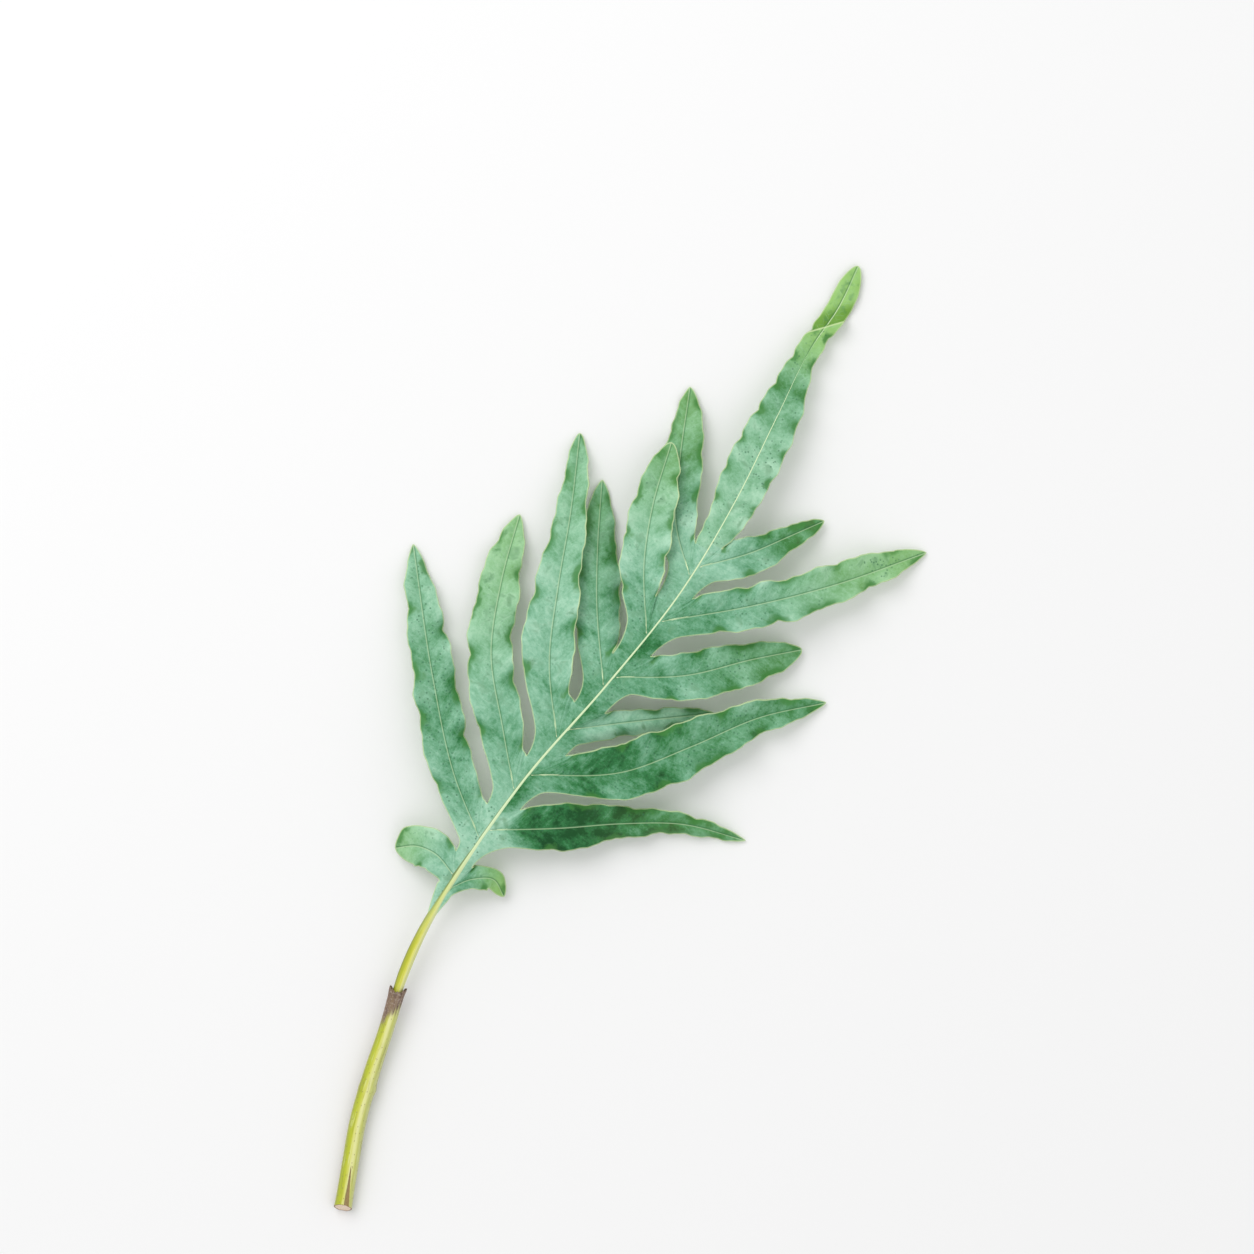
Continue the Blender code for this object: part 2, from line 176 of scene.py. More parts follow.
def mesh_of(name: str, patches: list[Patch]) -> bpy.types.Mesh:
    """Weld patches into one mesh, with each patch's values kept on its own face corners.

    Args:
        name: Name of the mesh.
        patches: Patches that share their border points.

    Returns:
        The mesh in metres on the frame, smooth, its normals recalculated after the weld.
    """
    points, quads, finishes = [], [], []
    corners: dict[str, list[Array]] = {key: [] for key in patches[0].values}
    start = 0
    for patch in patches:
        rows, columns = patch.points.shape[:2]
        index = np.arange(rows * columns).reshape(rows, columns)
        ring = [index[:-1, :-1], index[:-1, 1:], index[1:, 1:], index[1:, :-1]]
        quad = np.stack(ring[::-1] if patch.turned else ring, axis=-1).reshape(-1, 4)
        points.append(patch.points.reshape(-1, 3))
        quads.append(quad + start)
        finishes.append(np.full(len(quad), patch.finish, np.int32))
        for key, store in corners.items():
            store.append(patch.values[key].reshape(-1)[quad].reshape(-1))
        start += rows * columns
    mesh = bpy.data.meshes.new(name)
    places = (np.concatenate(points) - ORIGIN) * MM
    mesh.from_pydata(places.tolist(), [], np.concatenate(quads).tolist())
    mesh.polygons.foreach_set("material_index", np.concatenate(finishes))
    for key, store in corners.items():
        layer = mesh.attributes.new(key, "FLOAT", "CORNER")
        layer.data.foreach_set("value", np.concatenate(store).astype(np.float32))
    shape = bmesh.new()
    shape.from_mesh(mesh)
    bmesh.ops.remove_doubles(shape, verts=shape.verts, dist=WELD * MM)
    bmesh.ops.recalc_face_normals(shape, faces=shape.faces)
    shape.to_mesh(mesh)
    shape.free()
    mesh.shade_smooth()
    return mesh


def face_up(mesh: bpy.types.Mesh) -> None:
    """Turn an open sheet over if most of it faces down."""
    normals = np.zeros(len(mesh.polygons) * 3)
    mesh.polygons.foreach_get("normal", normals)
    if normals[2::3].sum() < 0.0:
        mesh.flip_normals()


def place(name: str, mesh: bpy.types.Mesh, materials: list[bpy.types.Material],
          slot: str, stands_for: tuple[str, ...] = ()) -> bpy.types.Object:
    """Put a finished mesh into the scene as a piece of the frond.

    Args:
        name: Name of the piece.
        mesh: Its mesh, already in place on the frame.
        materials: Its finishes, in the order that its faces name them.
        slot: Material slot of the record, which is only logged.
        stands_for: Nodes of the frame that it is shown instead of.

    Returns:
        The new object.
    """
    piece = bpy.data.objects.new(name, mesh)
    bpy.context.scene.collection.objects.link(piece)
    for material in materials:
        mesh.materials.append(material)
    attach(piece, BODY)
    if stands_for:
        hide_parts(*stands_for)
    LOG.info("%s: %d faces, slot %s", name, len(mesh.polygons), slot)
    return piece


# ---------------------------------------------------------------- finishes


def linear(colour: str) -> tuple[float, float, float, float]:
    """Turn an sRGB hex colour such as #89c098 to the linear values that a shader takes."""
    parts = [int(colour[i : i + 2], 16) / 255.0 for i in (1, 3, 5)]
    red, green, blue = (p / 12.92 if p <= 0.04045 else ((p + 0.055) / 1.055) ** 2.4 for p in parts)
    return (red, green, blue, 1.0)


def feed(tree: Tree, node: Node, inputs: dict[Any, Any]) -> None:
    """Fill a node's inputs: what another node gives is linked, and a plain value is set.

    Args:
        tree: Node tree that the node is in.
        node: The node.
        inputs: Value, node or output socket for each input, by name or by number.
    """
    for socket, value in inputs.items():
        source = value.outputs[0] if isinstance(value, bpy.types.Node) else value
        if isinstance(source, bpy.types.NodeSocket):
            tree.links.new(source, node.inputs[socket])
        else:
            node.inputs[socket].default_value = source


def add(tree: Tree, kind: str, settings: dict[str, Any] | None = None,
        inputs: dict[Any, Any] | None = None) -> Node:
    """Add one shader node.

    Args:
        tree: Node tree that it goes into.
        kind: Its type, without the leading ShaderNode.
        settings: Properties to set on it.
        inputs: Value, node or output socket for each input, by name or by number.

    Returns:
        The new node.
    """
    made = tree.nodes.new("ShaderNode" + kind)
    for name, value in (settings or {}).items():
        setattr(made, name, value)
    feed(tree, made, inputs or {})
    return made


def start_material(name: str) -> tuple[bpy.types.Material, Tree, Node]:
    """Make an empty node material.

    Args:
        name: Name of the material.

    Returns:
        The material, its node tree and its Principled shader, already linked to the output.
    """
    material = bpy.data.materials.new(name)
    material.use_nodes = True
    tree = material.node_tree
    tree.nodes.clear()
    shader = add(tree, "BsdfPrincipled")
    add(tree, "OutputMaterial", None, {"Surface": shader})
    return material, tree, shader


def read(tree: Tree, names: tuple[str, ...]) -> dict[str, Any]:
    """Read surface attributes.

    Args:
        tree: Node tree that they are read in.
        names: The attributes.

    Returns:
        Output socket of each attribute's number, by name.
    """
    return {
        name: add(tree, "Attribute", {"attribute_name": name}).outputs["Fac"] for name in names
    }


def masks(tree: Tree, wanted: dict[str, tuple[Any, float, float]]) -> dict[str, Node]:
    """Ease numbers into masks.

    Args:
        tree: Node tree that they go into.
        wanted: For each mask its source, and the source's values where it is 0 and where it is 1.

    Returns:
        Node of each mask, by name.
    """
    made = {}
    for name, (source, none, full) in wanted.items():
        low, high = min(none, full), max(none, full)
        ends = (0.0, 1.0) if none < full else (1.0, 0.0)
        made[name] = add(tree, "MapRange", {"interpolation_type": "SMOOTHSTEP"},
                         {0: source, 1: low, 2: high, 3: ends[0], 4: ends[1]})
    return made


def product(tree: Tree, *factors: Any) -> Node:
    """Multiply masks and plain numbers together.

    Args:
        tree: Node tree that they are in.
        factors: Two or more masks or numbers.

    Returns:
        Node of their product.
    """
    result = factors[0]
    for factor in factors[1:]:
        result = add(tree, "Math", {"operation": "MULTIPLY"}, {0: result, 1: factor})
    return result


def total(tree: Tree, terms: list[tuple[Any, float]]) -> Node:
    """Add weighted masks.

    Args:
        tree: Node tree that they are in.
        terms: Each mask and its weight.

    Returns:
        Node of their sum.
    """
    result: Any = 0.0
    for mask, weight in terms:
        result = add(tree, "Math", {"operation": "MULTIPLY_ADD"}, {0: mask, 1: weight, 2: result})
    return result


def lay_on(tree: Tree, ground: Any, coats: list[tuple[Any, Any]]) -> Any:
    """Lay coats of colour over a ground colour, one after another.

    Args:
        tree: Node tree that they go into.
        ground: Colour socket or colour that is covered.
        coats: Mask and colour of each coat, the lowest first.

    Returns:
        Socket of the finished colour.
    """
    for mask, colour in coats:
        tint = linear(colour) if isinstance(colour, str) else colour
        ground = add(tree, "Mix", {"data_type": "RGBA"}, {0: mask, 6: ground, 7: tint}).outputs[2]
    return ground


def ramp(tree: Tree, source: Any, stops: tuple[tuple[float, str], ...]) -> Any:
    """Turn a number into a colour.

    Args:
        tree: Node tree that it goes into.
        source: The number.
        stops: Places from 0 to 1 and their colours.

    Returns:
        Socket of the colour.
    """
    node = add(tree, "ValToRGB", None, {"Fac": source})
    elements = node.color_ramp.elements
    while len(elements) < len(stops):
        elements.new(0.5)
    for element, (at, colour) in zip(elements, stops):
        element.position = at
        element.color = linear(colour)
    return node.outputs["Color"]


def per_metre(size_mm: float) -> float:
    """Texture scale at which one cell or wave is size_mm across."""
    return 1.0 / (size_mm * MM)


@dataclass(frozen=True)
class LeafFinish:
    """Fresh fern leaf under a thin coat of wax, as grown.

    The wax makes it matt and blue-green where it is thick, and saturated green where it is
    rubbed or thin, in the hollows of the wavy margin. Veins stand out as finer, paler lines.
    """

    name: str = "waxy_fern_leaf"
    greens: tuple[tuple[float, str], ...] = (
        (0.0, "#0d4d20"), (0.25, "#2f7a43"), (0.5, "#67a47e"), (0.75, "#8ec3a4"), (1.0, "#aedabf"),
    )
    young: str = "#9bca68"
    hollow: str = "#3f8238"
    speck: str = "#356a4c"
    vein: str = "#a9d4b3"
    costa: str = "#b6d4a6"
    # Painted shadow: a dark line beside the midrib.
    groove_shadow: str = "#3c7448"
    stain: str = "#43804e"
    margin: str = "#cbe0ab"
    dot: str = "#e3edc2"
    crease: str = "#d3e6ac"
    # Darker yellow-green just past the crease: partly the tip's own colour, partly painted shade where the
    # leaf drops away over the step.
    past_crease: str = "#6c9e36"
    under_greens: tuple[tuple[float, str], ...] = ((0.0, "#6f9f74"), (0.5, "#98bf93"), (1.0, "#bcd9b4"))
    under_young: str = "#a7cb78"
    under_net: str = "#c9dfb2"
    under_vein: str = "#cfe0a8"
    rim_greens: tuple[tuple[float, str], ...] = ((0.3, "#a9c985"), (0.7, "#cfe2a8"))
    rim_young: str = "#b5d27a"
    vein_mm: float = 6.0
    net_mm: float = 2.4
    cloud_mm: float = 16.0
    blot_mm: float = 5.0
    grain_mm: float = 1.1
    under_grain_mm: float = 1.4
    rim_grain_mm: float = 3.0
    speck_mm: float = 1.9
    streaks_per_vein: float = 1.3
    streaks_per_mm: float = 0.2
    costa_shift_mm: float = 0.12
    groove_shadow_shift_mm: float = -0.4
    roughness: float = 0.52

    def material(self) -> bpy.types.Material:
        """Build the upper leaf surface.

        Its tone is a clamped sum of the lobe's own bloom and four patterns, and a ramp turns it to a
        colour. The bloom is the wax's thickness with painted light and shade in it: lighter on the
        crests of the margin's waves, and darker in painted shade beside the rachis. Veins, hollows,
        specks, midrib, crease and margin lie over that.

        Returns:
            The material.
        """
        material, tree, shader = start_material(self.name)
        at = read(tree, ("rib_mm", "edge_mm", "along_mm", "signed_mm", "crease_mm", "vein", "bloom",
                         "young", "hollow", "specks"))
        place_on = add(tree, "TexCoord").outputs["Object"]
        cloud = add(tree, "TexNoise", None,
                    {"Vector": place_on, "Scale": per_metre(self.cloud_mm), "Detail": 3.0})
        grain = add(tree, "TexNoise", None, {
            "Vector": place_on, "Scale": per_metre(self.grain_mm), "Detail": 4.0, "Roughness": 0.65})
        blot = add(tree, "TexNoise", None, {
            "Vector": place_on, "Scale": per_metre(self.blot_mm), "Detail": 2.0, "Distortion": 0.6})
        # Streaks that run with the side veins: short across them and long from midrib to margin.
        streaks = add(tree, "TexNoise", {"noise_dimensions": "2D"}, {
            "Vector": add(tree, "CombineXYZ", None, {
                0: product(tree, at["vein"], self.streaks_per_vein),
                1: product(tree, at["signed_mm"], self.streaks_per_mm),
            }), "Scale": 1.0, "Detail": 4.0, "Roughness": 0.6})
        net = add(tree, "TexVoronoi", {"feature": "DISTANCE_TO_EDGE"},
                  {"Vector": place_on, "Scale": per_metre(self.net_mm)})
        spot = add(tree, "TexVoronoi", {"feature": "F1"},
                   {"Vector": place_on, "Scale": per_metre(self.speck_mm), "Randomness": 1.0})
        to_vein = add(tree, "Math", {"operation": "PINGPONG"}, {0: at["vein"], 1: 0.5})
        to_crease = add(tree, "Math", {"operation": "ABSOLUTE"}, {0: at["crease_mm"]})
        # The pale midrib lies just basal of the middle, and a painted shadow line along its side just apical
        # of it.
        to_costa, to_groove_shadow = (
            add(tree, "Math", {"operation": "ABSOLUTE"}, {
                0: total(tree, [(at["signed_mm"], 1.0), (shift, 1.0)])})
            for shift in (self.costa_shift_mm, self.groove_shadow_shift_mm))
        mask = masks(tree, {
            "vein": (to_vein, 0.04, 0.008),
            "net": (net.outputs["Distance"], 0.07, 0.0),
            "crease": (to_crease, 0.6, 0.15),
            "past": (at["crease_mm"], 0.1, 0.9),
            "near": (at["crease_mm"], 13.0, 6.0),
            "inside": (at["edge_mm"], 0.9, 2.6),
            "away": (at["rib_mm"], 0.5, 1.6),
            "costa": (to_costa, 0.34, 0.1),
            "groove_shadow": (to_groove_shadow, 0.42, 0.1),
            "stain": (total(tree, [(blot, 1.0), (cloud, 0.6)]), 0.85, 1.05),
            "begun": (at["along_mm"], 1.0, 2.0),
            "dot": (at["along_mm"], 2.6, 1.6),
            "margin": (at["edge_mm"], 0.62, 0.15),
            "hollow": (total(tree, [(at["hollow"], 1.0), (blot, 1.5), (grain, 0.6)]), 1.3, 1.9),
            "spot": (spot.outputs["Distance"], 0.3, 0.12),
            "patch": (total(tree, [(cloud, 1.0), (at["specks"], 0.35)]), 0.58, 0.8),
        })
        veins = product(tree, mask["vein"], mask["inside"], mask["away"])
        netting = product(tree, mask["net"], mask["inside"], mask["away"])
        spots = product(tree, mask["spot"], mask["patch"], mask["inside"])
        tone = total(tree, [(at["bloom"], 1.0), (cloud, 0.6), (streaks, 0.5), (blot, 0.45), (grain, 0.45),
                            (1.0, -1.0)])
        tone.use_clamp = True
        colour = lay_on(tree, ramp(tree, tone, self.greens), [
            (product(tree, at["young"], 0.85), self.young),
            # Partly painted shade just past the crease, where the leaf drops over the step.
            (product(tree, mask["past"], mask["near"], 0.85), self.past_crease),
            (product(tree, netting, tone, 0.22), self.vein),
            (product(tree, veins, tone, 0.3), self.vein),
            (product(tree, mask["stain"], mask["inside"], tone, 0.5), self.stain),
            (product(tree, mask["hollow"], 0.8), self.hollow),
            (product(tree, spots, 0.65), self.speck),
            # Painted shadow line beside the midrib.
            (product(tree, mask["groove_shadow"], mask["begun"], 0.6), self.groove_shadow),
            (product(tree, mask["costa"], mask["begun"], 0.6), self.costa),
            (product(tree, mask["costa"], mask["begun"], mask["dot"]), self.dot),
            (product(tree, mask["crease"], 0.75), self.crease),
            (product(tree, mask["margin"], 0.8), self.margin),
        ])
        height = total(tree, [(veins, 0.5), (netting, 0.3), (grain, 0.35), (spots, -0.3)])
        bump = add(tree, "Bump", None, {"Strength": 0.5, "Distance": 0.12 * MM, "Height": height})
        matt = total(tree, [(grain, 0.16), (mask["hollow"], -0.06), (self.roughness - 0.08, 1.0)])
        feed(tree, shader, {
            "Base Color": colour, "Roughness": matt, "Normal": bump, "Specular IOR Level": 0.22})
        return material

    def underside(self) -> bpy.types.Material:
        """Build the lower leaf surface: paler, greyer and with the veins standing out.

        Returns:
            The material.
        """
        material, tree, shader = start_material(self.name + "_underside")
        at = read(tree, ("edge_mm", "vein", "bloom", "young"))
        place_on = add(tree, "TexCoord").outputs["Object"]
        grain = add(tree, "TexNoise", None, {
            "Vector": place_on, "Scale": per_metre(self.under_grain_mm), "Detail": 4.0})
        net = add(tree, "TexVoronoi", {"feature": "DISTANCE_TO_EDGE"},
                  {"Vector": place_on, "Scale": per_metre(self.net_mm)})
        to_vein = add(tree, "Math", {"operation": "PINGPONG"}, {0: at["vein"], 1: 0.5})
        mask = masks(tree, {
            "vein": (to_vein, 0.06, 0.01),
            "net": (net.outputs["Distance"], 0.09, 0.0),
            "margin": (at["edge_mm"], 0.8, 0.2),
        })
        tone = total(tree, [(at["bloom"], 0.4), (grain, 0.35), (0.1, 1.0)])
        colour = lay_on(tree, ramp(tree, tone, self.under_greens), [
            (product(tree, at["young"], 0.7), self.under_young),
            (product(tree, mask["net"], 0.3), self.under_net),
            (product(tree, mask["vein"], 0.6), self.under_vein),
            (product(tree, mask["margin"], 0.7), self.margin),
        ])
        height = total(tree, [(mask["vein"], 0.8), (mask["net"], 0.5), (grain, 0.3)])
        bump = add(tree, "Bump", None, {"Strength": 0.6, "Distance": 0.15 * MM, "Height": height})
        feed(tree, shader, {
            "Base Color": colour, "Roughness": 0.68, "Normal": bump, "Specular IOR Level": 0.3})
        return material

    def rim(self) -> bpy.types.Material:
        """Build the thin, clear edge of the leaf, which lets light through and looks pale.

        Returns:
            The material.
        """
        material, tree, shader = start_material(self.name + "_margin")
        at = read(tree, ("young",))
        place_on = add(tree, "TexCoord").outputs["Object"]
        grain = add(tree, "TexNoise", None, {
            "Vector": place_on, "Scale": per_metre(self.rim_grain_mm)})
        colour = lay_on(tree, ramp(tree, grain, self.rim_greens), [
            (product(tree, at["young"], 0.5), self.rim_young),
        ])
        feed(tree, shader, {"Base Color": colour, "Roughness": 0.5})
        return material


@dataclass(frozen=True)
class StalkFinish:
    """Smooth, fleshy leaf stalk: yellow-green, with a painted highlight, a cream stripe, just right of its
    top.

    Fine lines run the whole length, so it looks drawn out. Beside the blade it pales to the
    colour of the leaf, with a painted shadow line along its left side. Colours go round it from
    below, a quarter turn to its right side and half a turn to its top; they are darker towards
    the left side, partly painted shade.
    """

    name: str = "smooth_leaf_stalk"
    # Colours round the stalk: the cream stripe right of its top is a painted highlight, and the darker left
    # side is partly painted shade.
    round_colours_with_painted_light: tuple[tuple[float, str], ...] = (
        (0.0, "#8f9b38"), (0.25, "#aab55a"), (0.3, "#dfe29c"), (0.37, "#d2d584"), (0.42, "#eaea9c"),
        (0.46, "#e6e572"), (0.5, "#cdcd44"), (0.54, "#bdc22c"), (0.63, "#a7ac2b"), (0.7, "#858c2c"),
        (0.75, "#7d8530"), (0.8, "#98a436"), (1.0, "#87932c"),
    )
    leafy: str = "#dcf3c6"
    painted_flank_shadow: str = "#56733a"
    line: str = "#93a02f"
    pale_line: str = "#f1f2c4"
    lines_round: float = 34.0
    lines_per_mm: float = 0.06
    grain_mm: float = 1.6
    roughness: float = 0.34

    def material(self) -> bpy.types.Material:
        """Build the stalk's skin.

        Returns:
            The material.
        """
        material, tree, shader = start_material(self.name)
        at = read(tree, ("turn", "station", "leafy"))
        lines = add(tree, "TexNoise", {"noise_dimensions": "2D"}, {
            "Vector": add(tree, "CombineXYZ", None, {
                0: product(tree, at["turn"], self.lines_round),
                1: product(tree, at["station"], self.lines_per_mm),
            }), "Scale": 1.0, "Detail": 3.0, "Roughness": 0.6})
        grain = add(tree, "TexNoise", None, {
            "Vector": add(tree, "TexCoord").outputs["Object"], "Scale": per_metre(self.grain_mm),
            "Detail": 3.0})
        place_on_ramp = total(tree, [(at["turn"], 1.0), (lines, 0.06), (grain, 0.03), (0.045, -1.0)])
        shade = masks(tree, {
            "line": (lines, 0.56, 0.72),
            "pale": (lines, 0.42, 0.28),
            "painted_flank_shadow": (at["turn"], 0.53, 0.57),
            "rachis": (at["station"], 120.0, 150.0),
        })
        colour = lay_on(tree, ramp(tree, place_on_ramp, self.round_colours_with_painted_light), [
            (product(tree, shade["line"], 0.25), self.line),
            (product(tree, shade["pale"], 0.25), self.pale_line),
            (at["leafy"], self.leafy),
            # Painted shadow: a dark line along the left side of the rachis, beside the blade.
            (product(tree, shade["painted_flank_shadow"], shade["rachis"], 0.8), self.painted_flank_shadow),
        ])
        height = total(tree, [(lines, 1.0), (grain, 0.3)])
        bump = add(tree, "Bump", None, {"Strength": 0.35, "Distance": 0.12 * MM, "Height": height})
        feed(tree, shader, {
            "Base Color": colour, "Roughness": self.roughness, "Normal": bump,
            "Specular IOR Level": 0.45})
        return material


@dataclass(frozen=True)
class StemFinish:
    """Woody-green lower stem, smooth and lightly waxed, with a scurfy brown collar.

    A cream stripe runs right of its top line as a painted highlight, with a thin pale painted
    highlight along its left edge and a darker right edge that is partly painted shade. Small corky
    specks dot it, and the dried collar and the split at the cut are brown and dull.
    """

    name: str = "green_lower_stem"
    # Colours round the stem: the cream stripe right of its top and the thin pale line at its left edge are
    # painted highlights, and the darker right edge is partly painted shade.
    round_colours_with_painted_light: tuple[tuple[float, str], ...] = (
        (0.0, "#7f8c2e"), (0.25, "#a9ad68"), (0.31, "#c9cc86"), (0.37, "#c2c873"), (0.41, "#c9cd6c"),
        (0.44, "#e4e597"), (0.48, "#e8e8a0"), (0.52, "#d3d55e"), (0.56, "#bcc42e"), (0.64, "#a8b32c"),
        (0.685, "#a3a748"), (0.71, "#d2cf9a"), (0.745, "#cbc48c"), (0.78, "#9c8a50"),
        (0.86, "#85763a"), (1.0, "#7f8c2e"),
    )
    collar: str = "#7f625c"
    streak: str = "#4f3630"
    # Painted shade inside the collar's socket.
    dark: str = "#4a3832"
    scurf: str = "#bfb1a6"
    cork: str = "#8a7a45"
    split: str = "#8d6a45"
    line: str = "#97993a"
    pale_line: str = "#e6ebb8"
    pith: tuple[tuple[float, str], ...] = ((0.3, "#e3c3a6"), (0.7, "#f3e2cb"))
    bundle: str = "#a9765a"
    bark: str = "#7c5636"
    lines_round: float = 26.0
    lines_per_mm: float = 0.07
    corks_per_mm: float = 0.55
    cork_scale: float = 0.62
    grain_mm: float = 1.0
    cloud_mm: float = 5.0
    pith_grain_mm: float = 0.5
    bundle_mm: float = 0.8
    roughness: float = 0.36

    def material(self) -> bpy.types.Material:
        """Build the stem's skin with its collar.

        Returns:
            The material.
        """
        material, tree, shader = start_material(self.name)
        at = read(tree, ("turn", "station", "collar", "rim", "split", "inside"))
        place_on = add(tree, "TexCoord").outputs["Object"]
        around = product(tree, at["turn"], self.lines_round)
        lines = add(tree, "TexNoise", {"noise_dimensions": "2D"}, {
            "Vector": add(tree, "CombineXYZ", None, {
                0: around, 1: product(tree, at["station"], self.lines_per_mm)}),
            "Scale": 1.0, "Detail": 3.0, "Roughness": 0.6})
        corks = add(tree, "TexVoronoi", {"voronoi_dimensions": "2D", "feature": "F1"}, {
            "Vector": add(tree, "CombineXYZ", None, {
                0: around, 1: product(tree, at["station"], self.corks_per_mm)}),
            "Scale": self.cork_scale})
        grain = add(tree, "TexNoise", None, {
            "Vector": place_on, "Scale": per_metre(self.grain_mm), "Detail": 4.0, "Roughness": 0.7})
        cloud = add(tree, "TexNoise", None, {
            "Vector": place_on, "Scale": per_metre(self.cloud_mm), "Detail": 2.0})
        # The collar starts along a ragged front that the lines, clouds and grain push up and down.
        ragged = total(tree, [
            (at["collar"], 1.0), (cloud, 0.4), (lines, 0.9), (grain, 0.4), (0.85, -1.0)])
        mask = masks(tree, {
            "line": (lines, 0.55, 0.75),
            "pale": (lines, 0.42, 0.25),
            "cork": (corks.outputs["Distance"], 0.14, 0.05),
            "few": (corks.outputs["Color"], 0.54, 0.48),
            "collar": (ragged, 0.1, 0.9),
            "streak": (total(tree, [(lines, 0.7), (cloud, 0.5)]), 0.58, 0.75),
            "scurf": (grain, 0.48, 0.68),
            "rim": (total(tree, [(at["rim"], 1.0), (grain, 0.5)]), 0.75, 1.15),
            "split": (total(tree, [(at["split"], 1.0), (grain, 0.5), (0.25, -1.0)]), 0.2, 0.5),
        })
        place_on_ramp = total(tree, [(at["turn"], 1.0), (lines, 0.07), (0.035, -1.0)])
        colour = lay_on(tree, ramp(tree, place_on_ramp, self.round_colours_with_painted_light), [
            (product(tree, mask["line"], 0.45), self.line),
            (product(tree, mask["pale"], 0.4), self.pale_line),
            (product(tree, mask["cork"], mask["few"], 0.85), self.cork),
            (product(tree, mask["split"], 0.85), self.split),
            (product(tree, mask["collar"], 0.9), self.collar),
            (product(tree, mask["collar"], mask["streak"], 0.75), self.streak),
            (product(tree, mask["collar"], mask["scurf"], 0.55), self.scurf),
            (product(tree, mask["rim"], 0.8), self.streak),
            # Painted shade that deepens down inside the collar's socket.
            (at["inside"], self.dark),
        ])
        height = total(tree, [
            (lines, 0.6), (product(tree, mask["collar"], grain), 2.2), (grain, 0.2),
            (product(tree, mask["cork"], mask["few"]), 0.8)])
        bump = add(tree, "Bump", None, {"Strength": 0.5, "Distance": 0.15 * MM, "Height": height})
        matt = total(tree, [(mask["collar"], 0.4), (mask["split"], 0.25), (self.roughness, 1.0)])
        feed(tree, shader, {
            "Base Color": colour, "Roughness": matt, "Normal": bump, "Specular IOR Level": 0.45})
        return material

    def cut_face(self) -> bpy.types.Material:
        """Build the fresh cut: damp pinkish-cream pith in a brown bark ring.

        Returns:
            The material.
        """
        material, tree, shader = start_material(self.name + "_cut")
        at = read(tree, ("ring",))
        place_on = add(tree, "TexCoord").outputs["Object"]
        grain = add(tree, "TexNoise", None, {
            "Vector": place_on, "Scale": per_metre(self.pith_grain_mm), "Detail": 3.0})
        pores = add(tree, "TexVoronoi", {"feature": "F1"}, {
            "Vector": place_on, "Scale": per_metre(self.bundle_mm)})
        mask = masks(tree, {
            "bark": (total(tree, [(at["ring"], 1.0), (grain, 0.2)]), 0.94, 1.03),
            "bundle": (pores.outputs["Distance"], 0.3, 0.12),
            "zone": (at["ring"], 0.45, 0.62),
        })
        colour = lay_on(tree, ramp(tree, grain, self.pith), [
            (product(tree, mask["bundle"], mask["zone"], 0.7), self.bundle),
            (product(tree, mask["bark"], 0.9), self.bark),
        ])
        height = total(tree, [(grain, 0.6), (mask["bundle"], -0.5)])
        bump = add(tree, "Bump", None, {"Strength": 0.5, "Distance": 0.12 * MM, "Height": height})
        feed(tree, shader, {"Base Color": colour, "Roughness": 0.42, "Normal": bump})
        return material


# ---------------------------------------------------------------- the frond


@dataclass(frozen=True)
class StalkLine:
    """Centre line of stem, stalk and rachis, with the rachis thickness, by station along the frond.

    Attributes:
        stations: Stations of the centre line.
        across: Sideways place at each station.
        heights: Height at each station.
        radius_stations: Stations of the thickness.
        radii: Radius of stalk and rachis at each of those.
        seats: How far up the stalk the leaf sheet sits, as a share of the radius, low and high.
        seat_stations: Stations between which it climbs from the low seat to the high one.
    """

    stations: tuple[float, ...] = (
        0, 18, 34, 53, 80, 96, 119, 134, 165, 200, 250, 300, 345, 385, 418, 440, 459)
    across: tuple[float, ...] = (
        -0.8, -7, -12.4, -16.8, -21.6, -25, -27.1, -26.9, -24.3, -19.5, -8.3, 0.5, 2.4, 0.8, -0.4, 1.7, 0.6)
    heights: tuple[float, ...] = (
        4.0, 4.1, 4.5, 5.2, 7.0, 8.6, 11, 12.8, 16, 18.8, 21.2, 21.2, 18, 12.4, 7.2, 4.4, 1.8)
    radius_stations: tuple[float, ...] = (
        80, 93, 100, 110, 120, 130, 142, 165, 180, 200, 250, 310, 380, 424, 450)
    radii: tuple[float, ...] = (
        1.8, 2.1, 2.3, 2.25, 2.05, 1.78, 1.5, 1.38, 1.3, 1.15, 0.95, 0.8, 0.6, 0.4, 0.25)
    seats: tuple[float, float] = (0.1, 0.66)
    seat_stations: tuple[float, float] = (126, 170)

    def centre(self, y: Any) -> Array:
        """Centre of the stalk at each station."""
        y = np.asarray(y, float)
        return np.stack([through(self.stations, self.across, y), y,
                         through(self.stations, self.heights, y)], axis=-1)

    def radius(self, y: Any) -> Array:
        """Radius of stalk or rachis at each station."""
        return np.interp(y, self.radius_stations, self.radii)

    def sheet(self, y: Any) -> Array:
        """Where the leaf sheet meets the stalk at each station, part of the way up its flanks."""
        point = self.centre(y)
        low, high = self.seat_stations
        climb = smoothstep((np.asarray(y, float) - low) / (high - low))
        point[..., 2] += self.radius(y) * (self.seats[0] + (self.seats[1] - self.seats[0]) * climb)
        return point

    def sides(self, y: Array) -> tuple[Array, Array, Array]:
        """Directions along the stalk, level to its right and square to both, at each station."""
        step = 0.5
        ahead = unit(self.centre(y + step) - self.centre(y - step))
        right = unit(np.cross(ahead, UP))
        return ahead, right, np.cross(right, ahead)


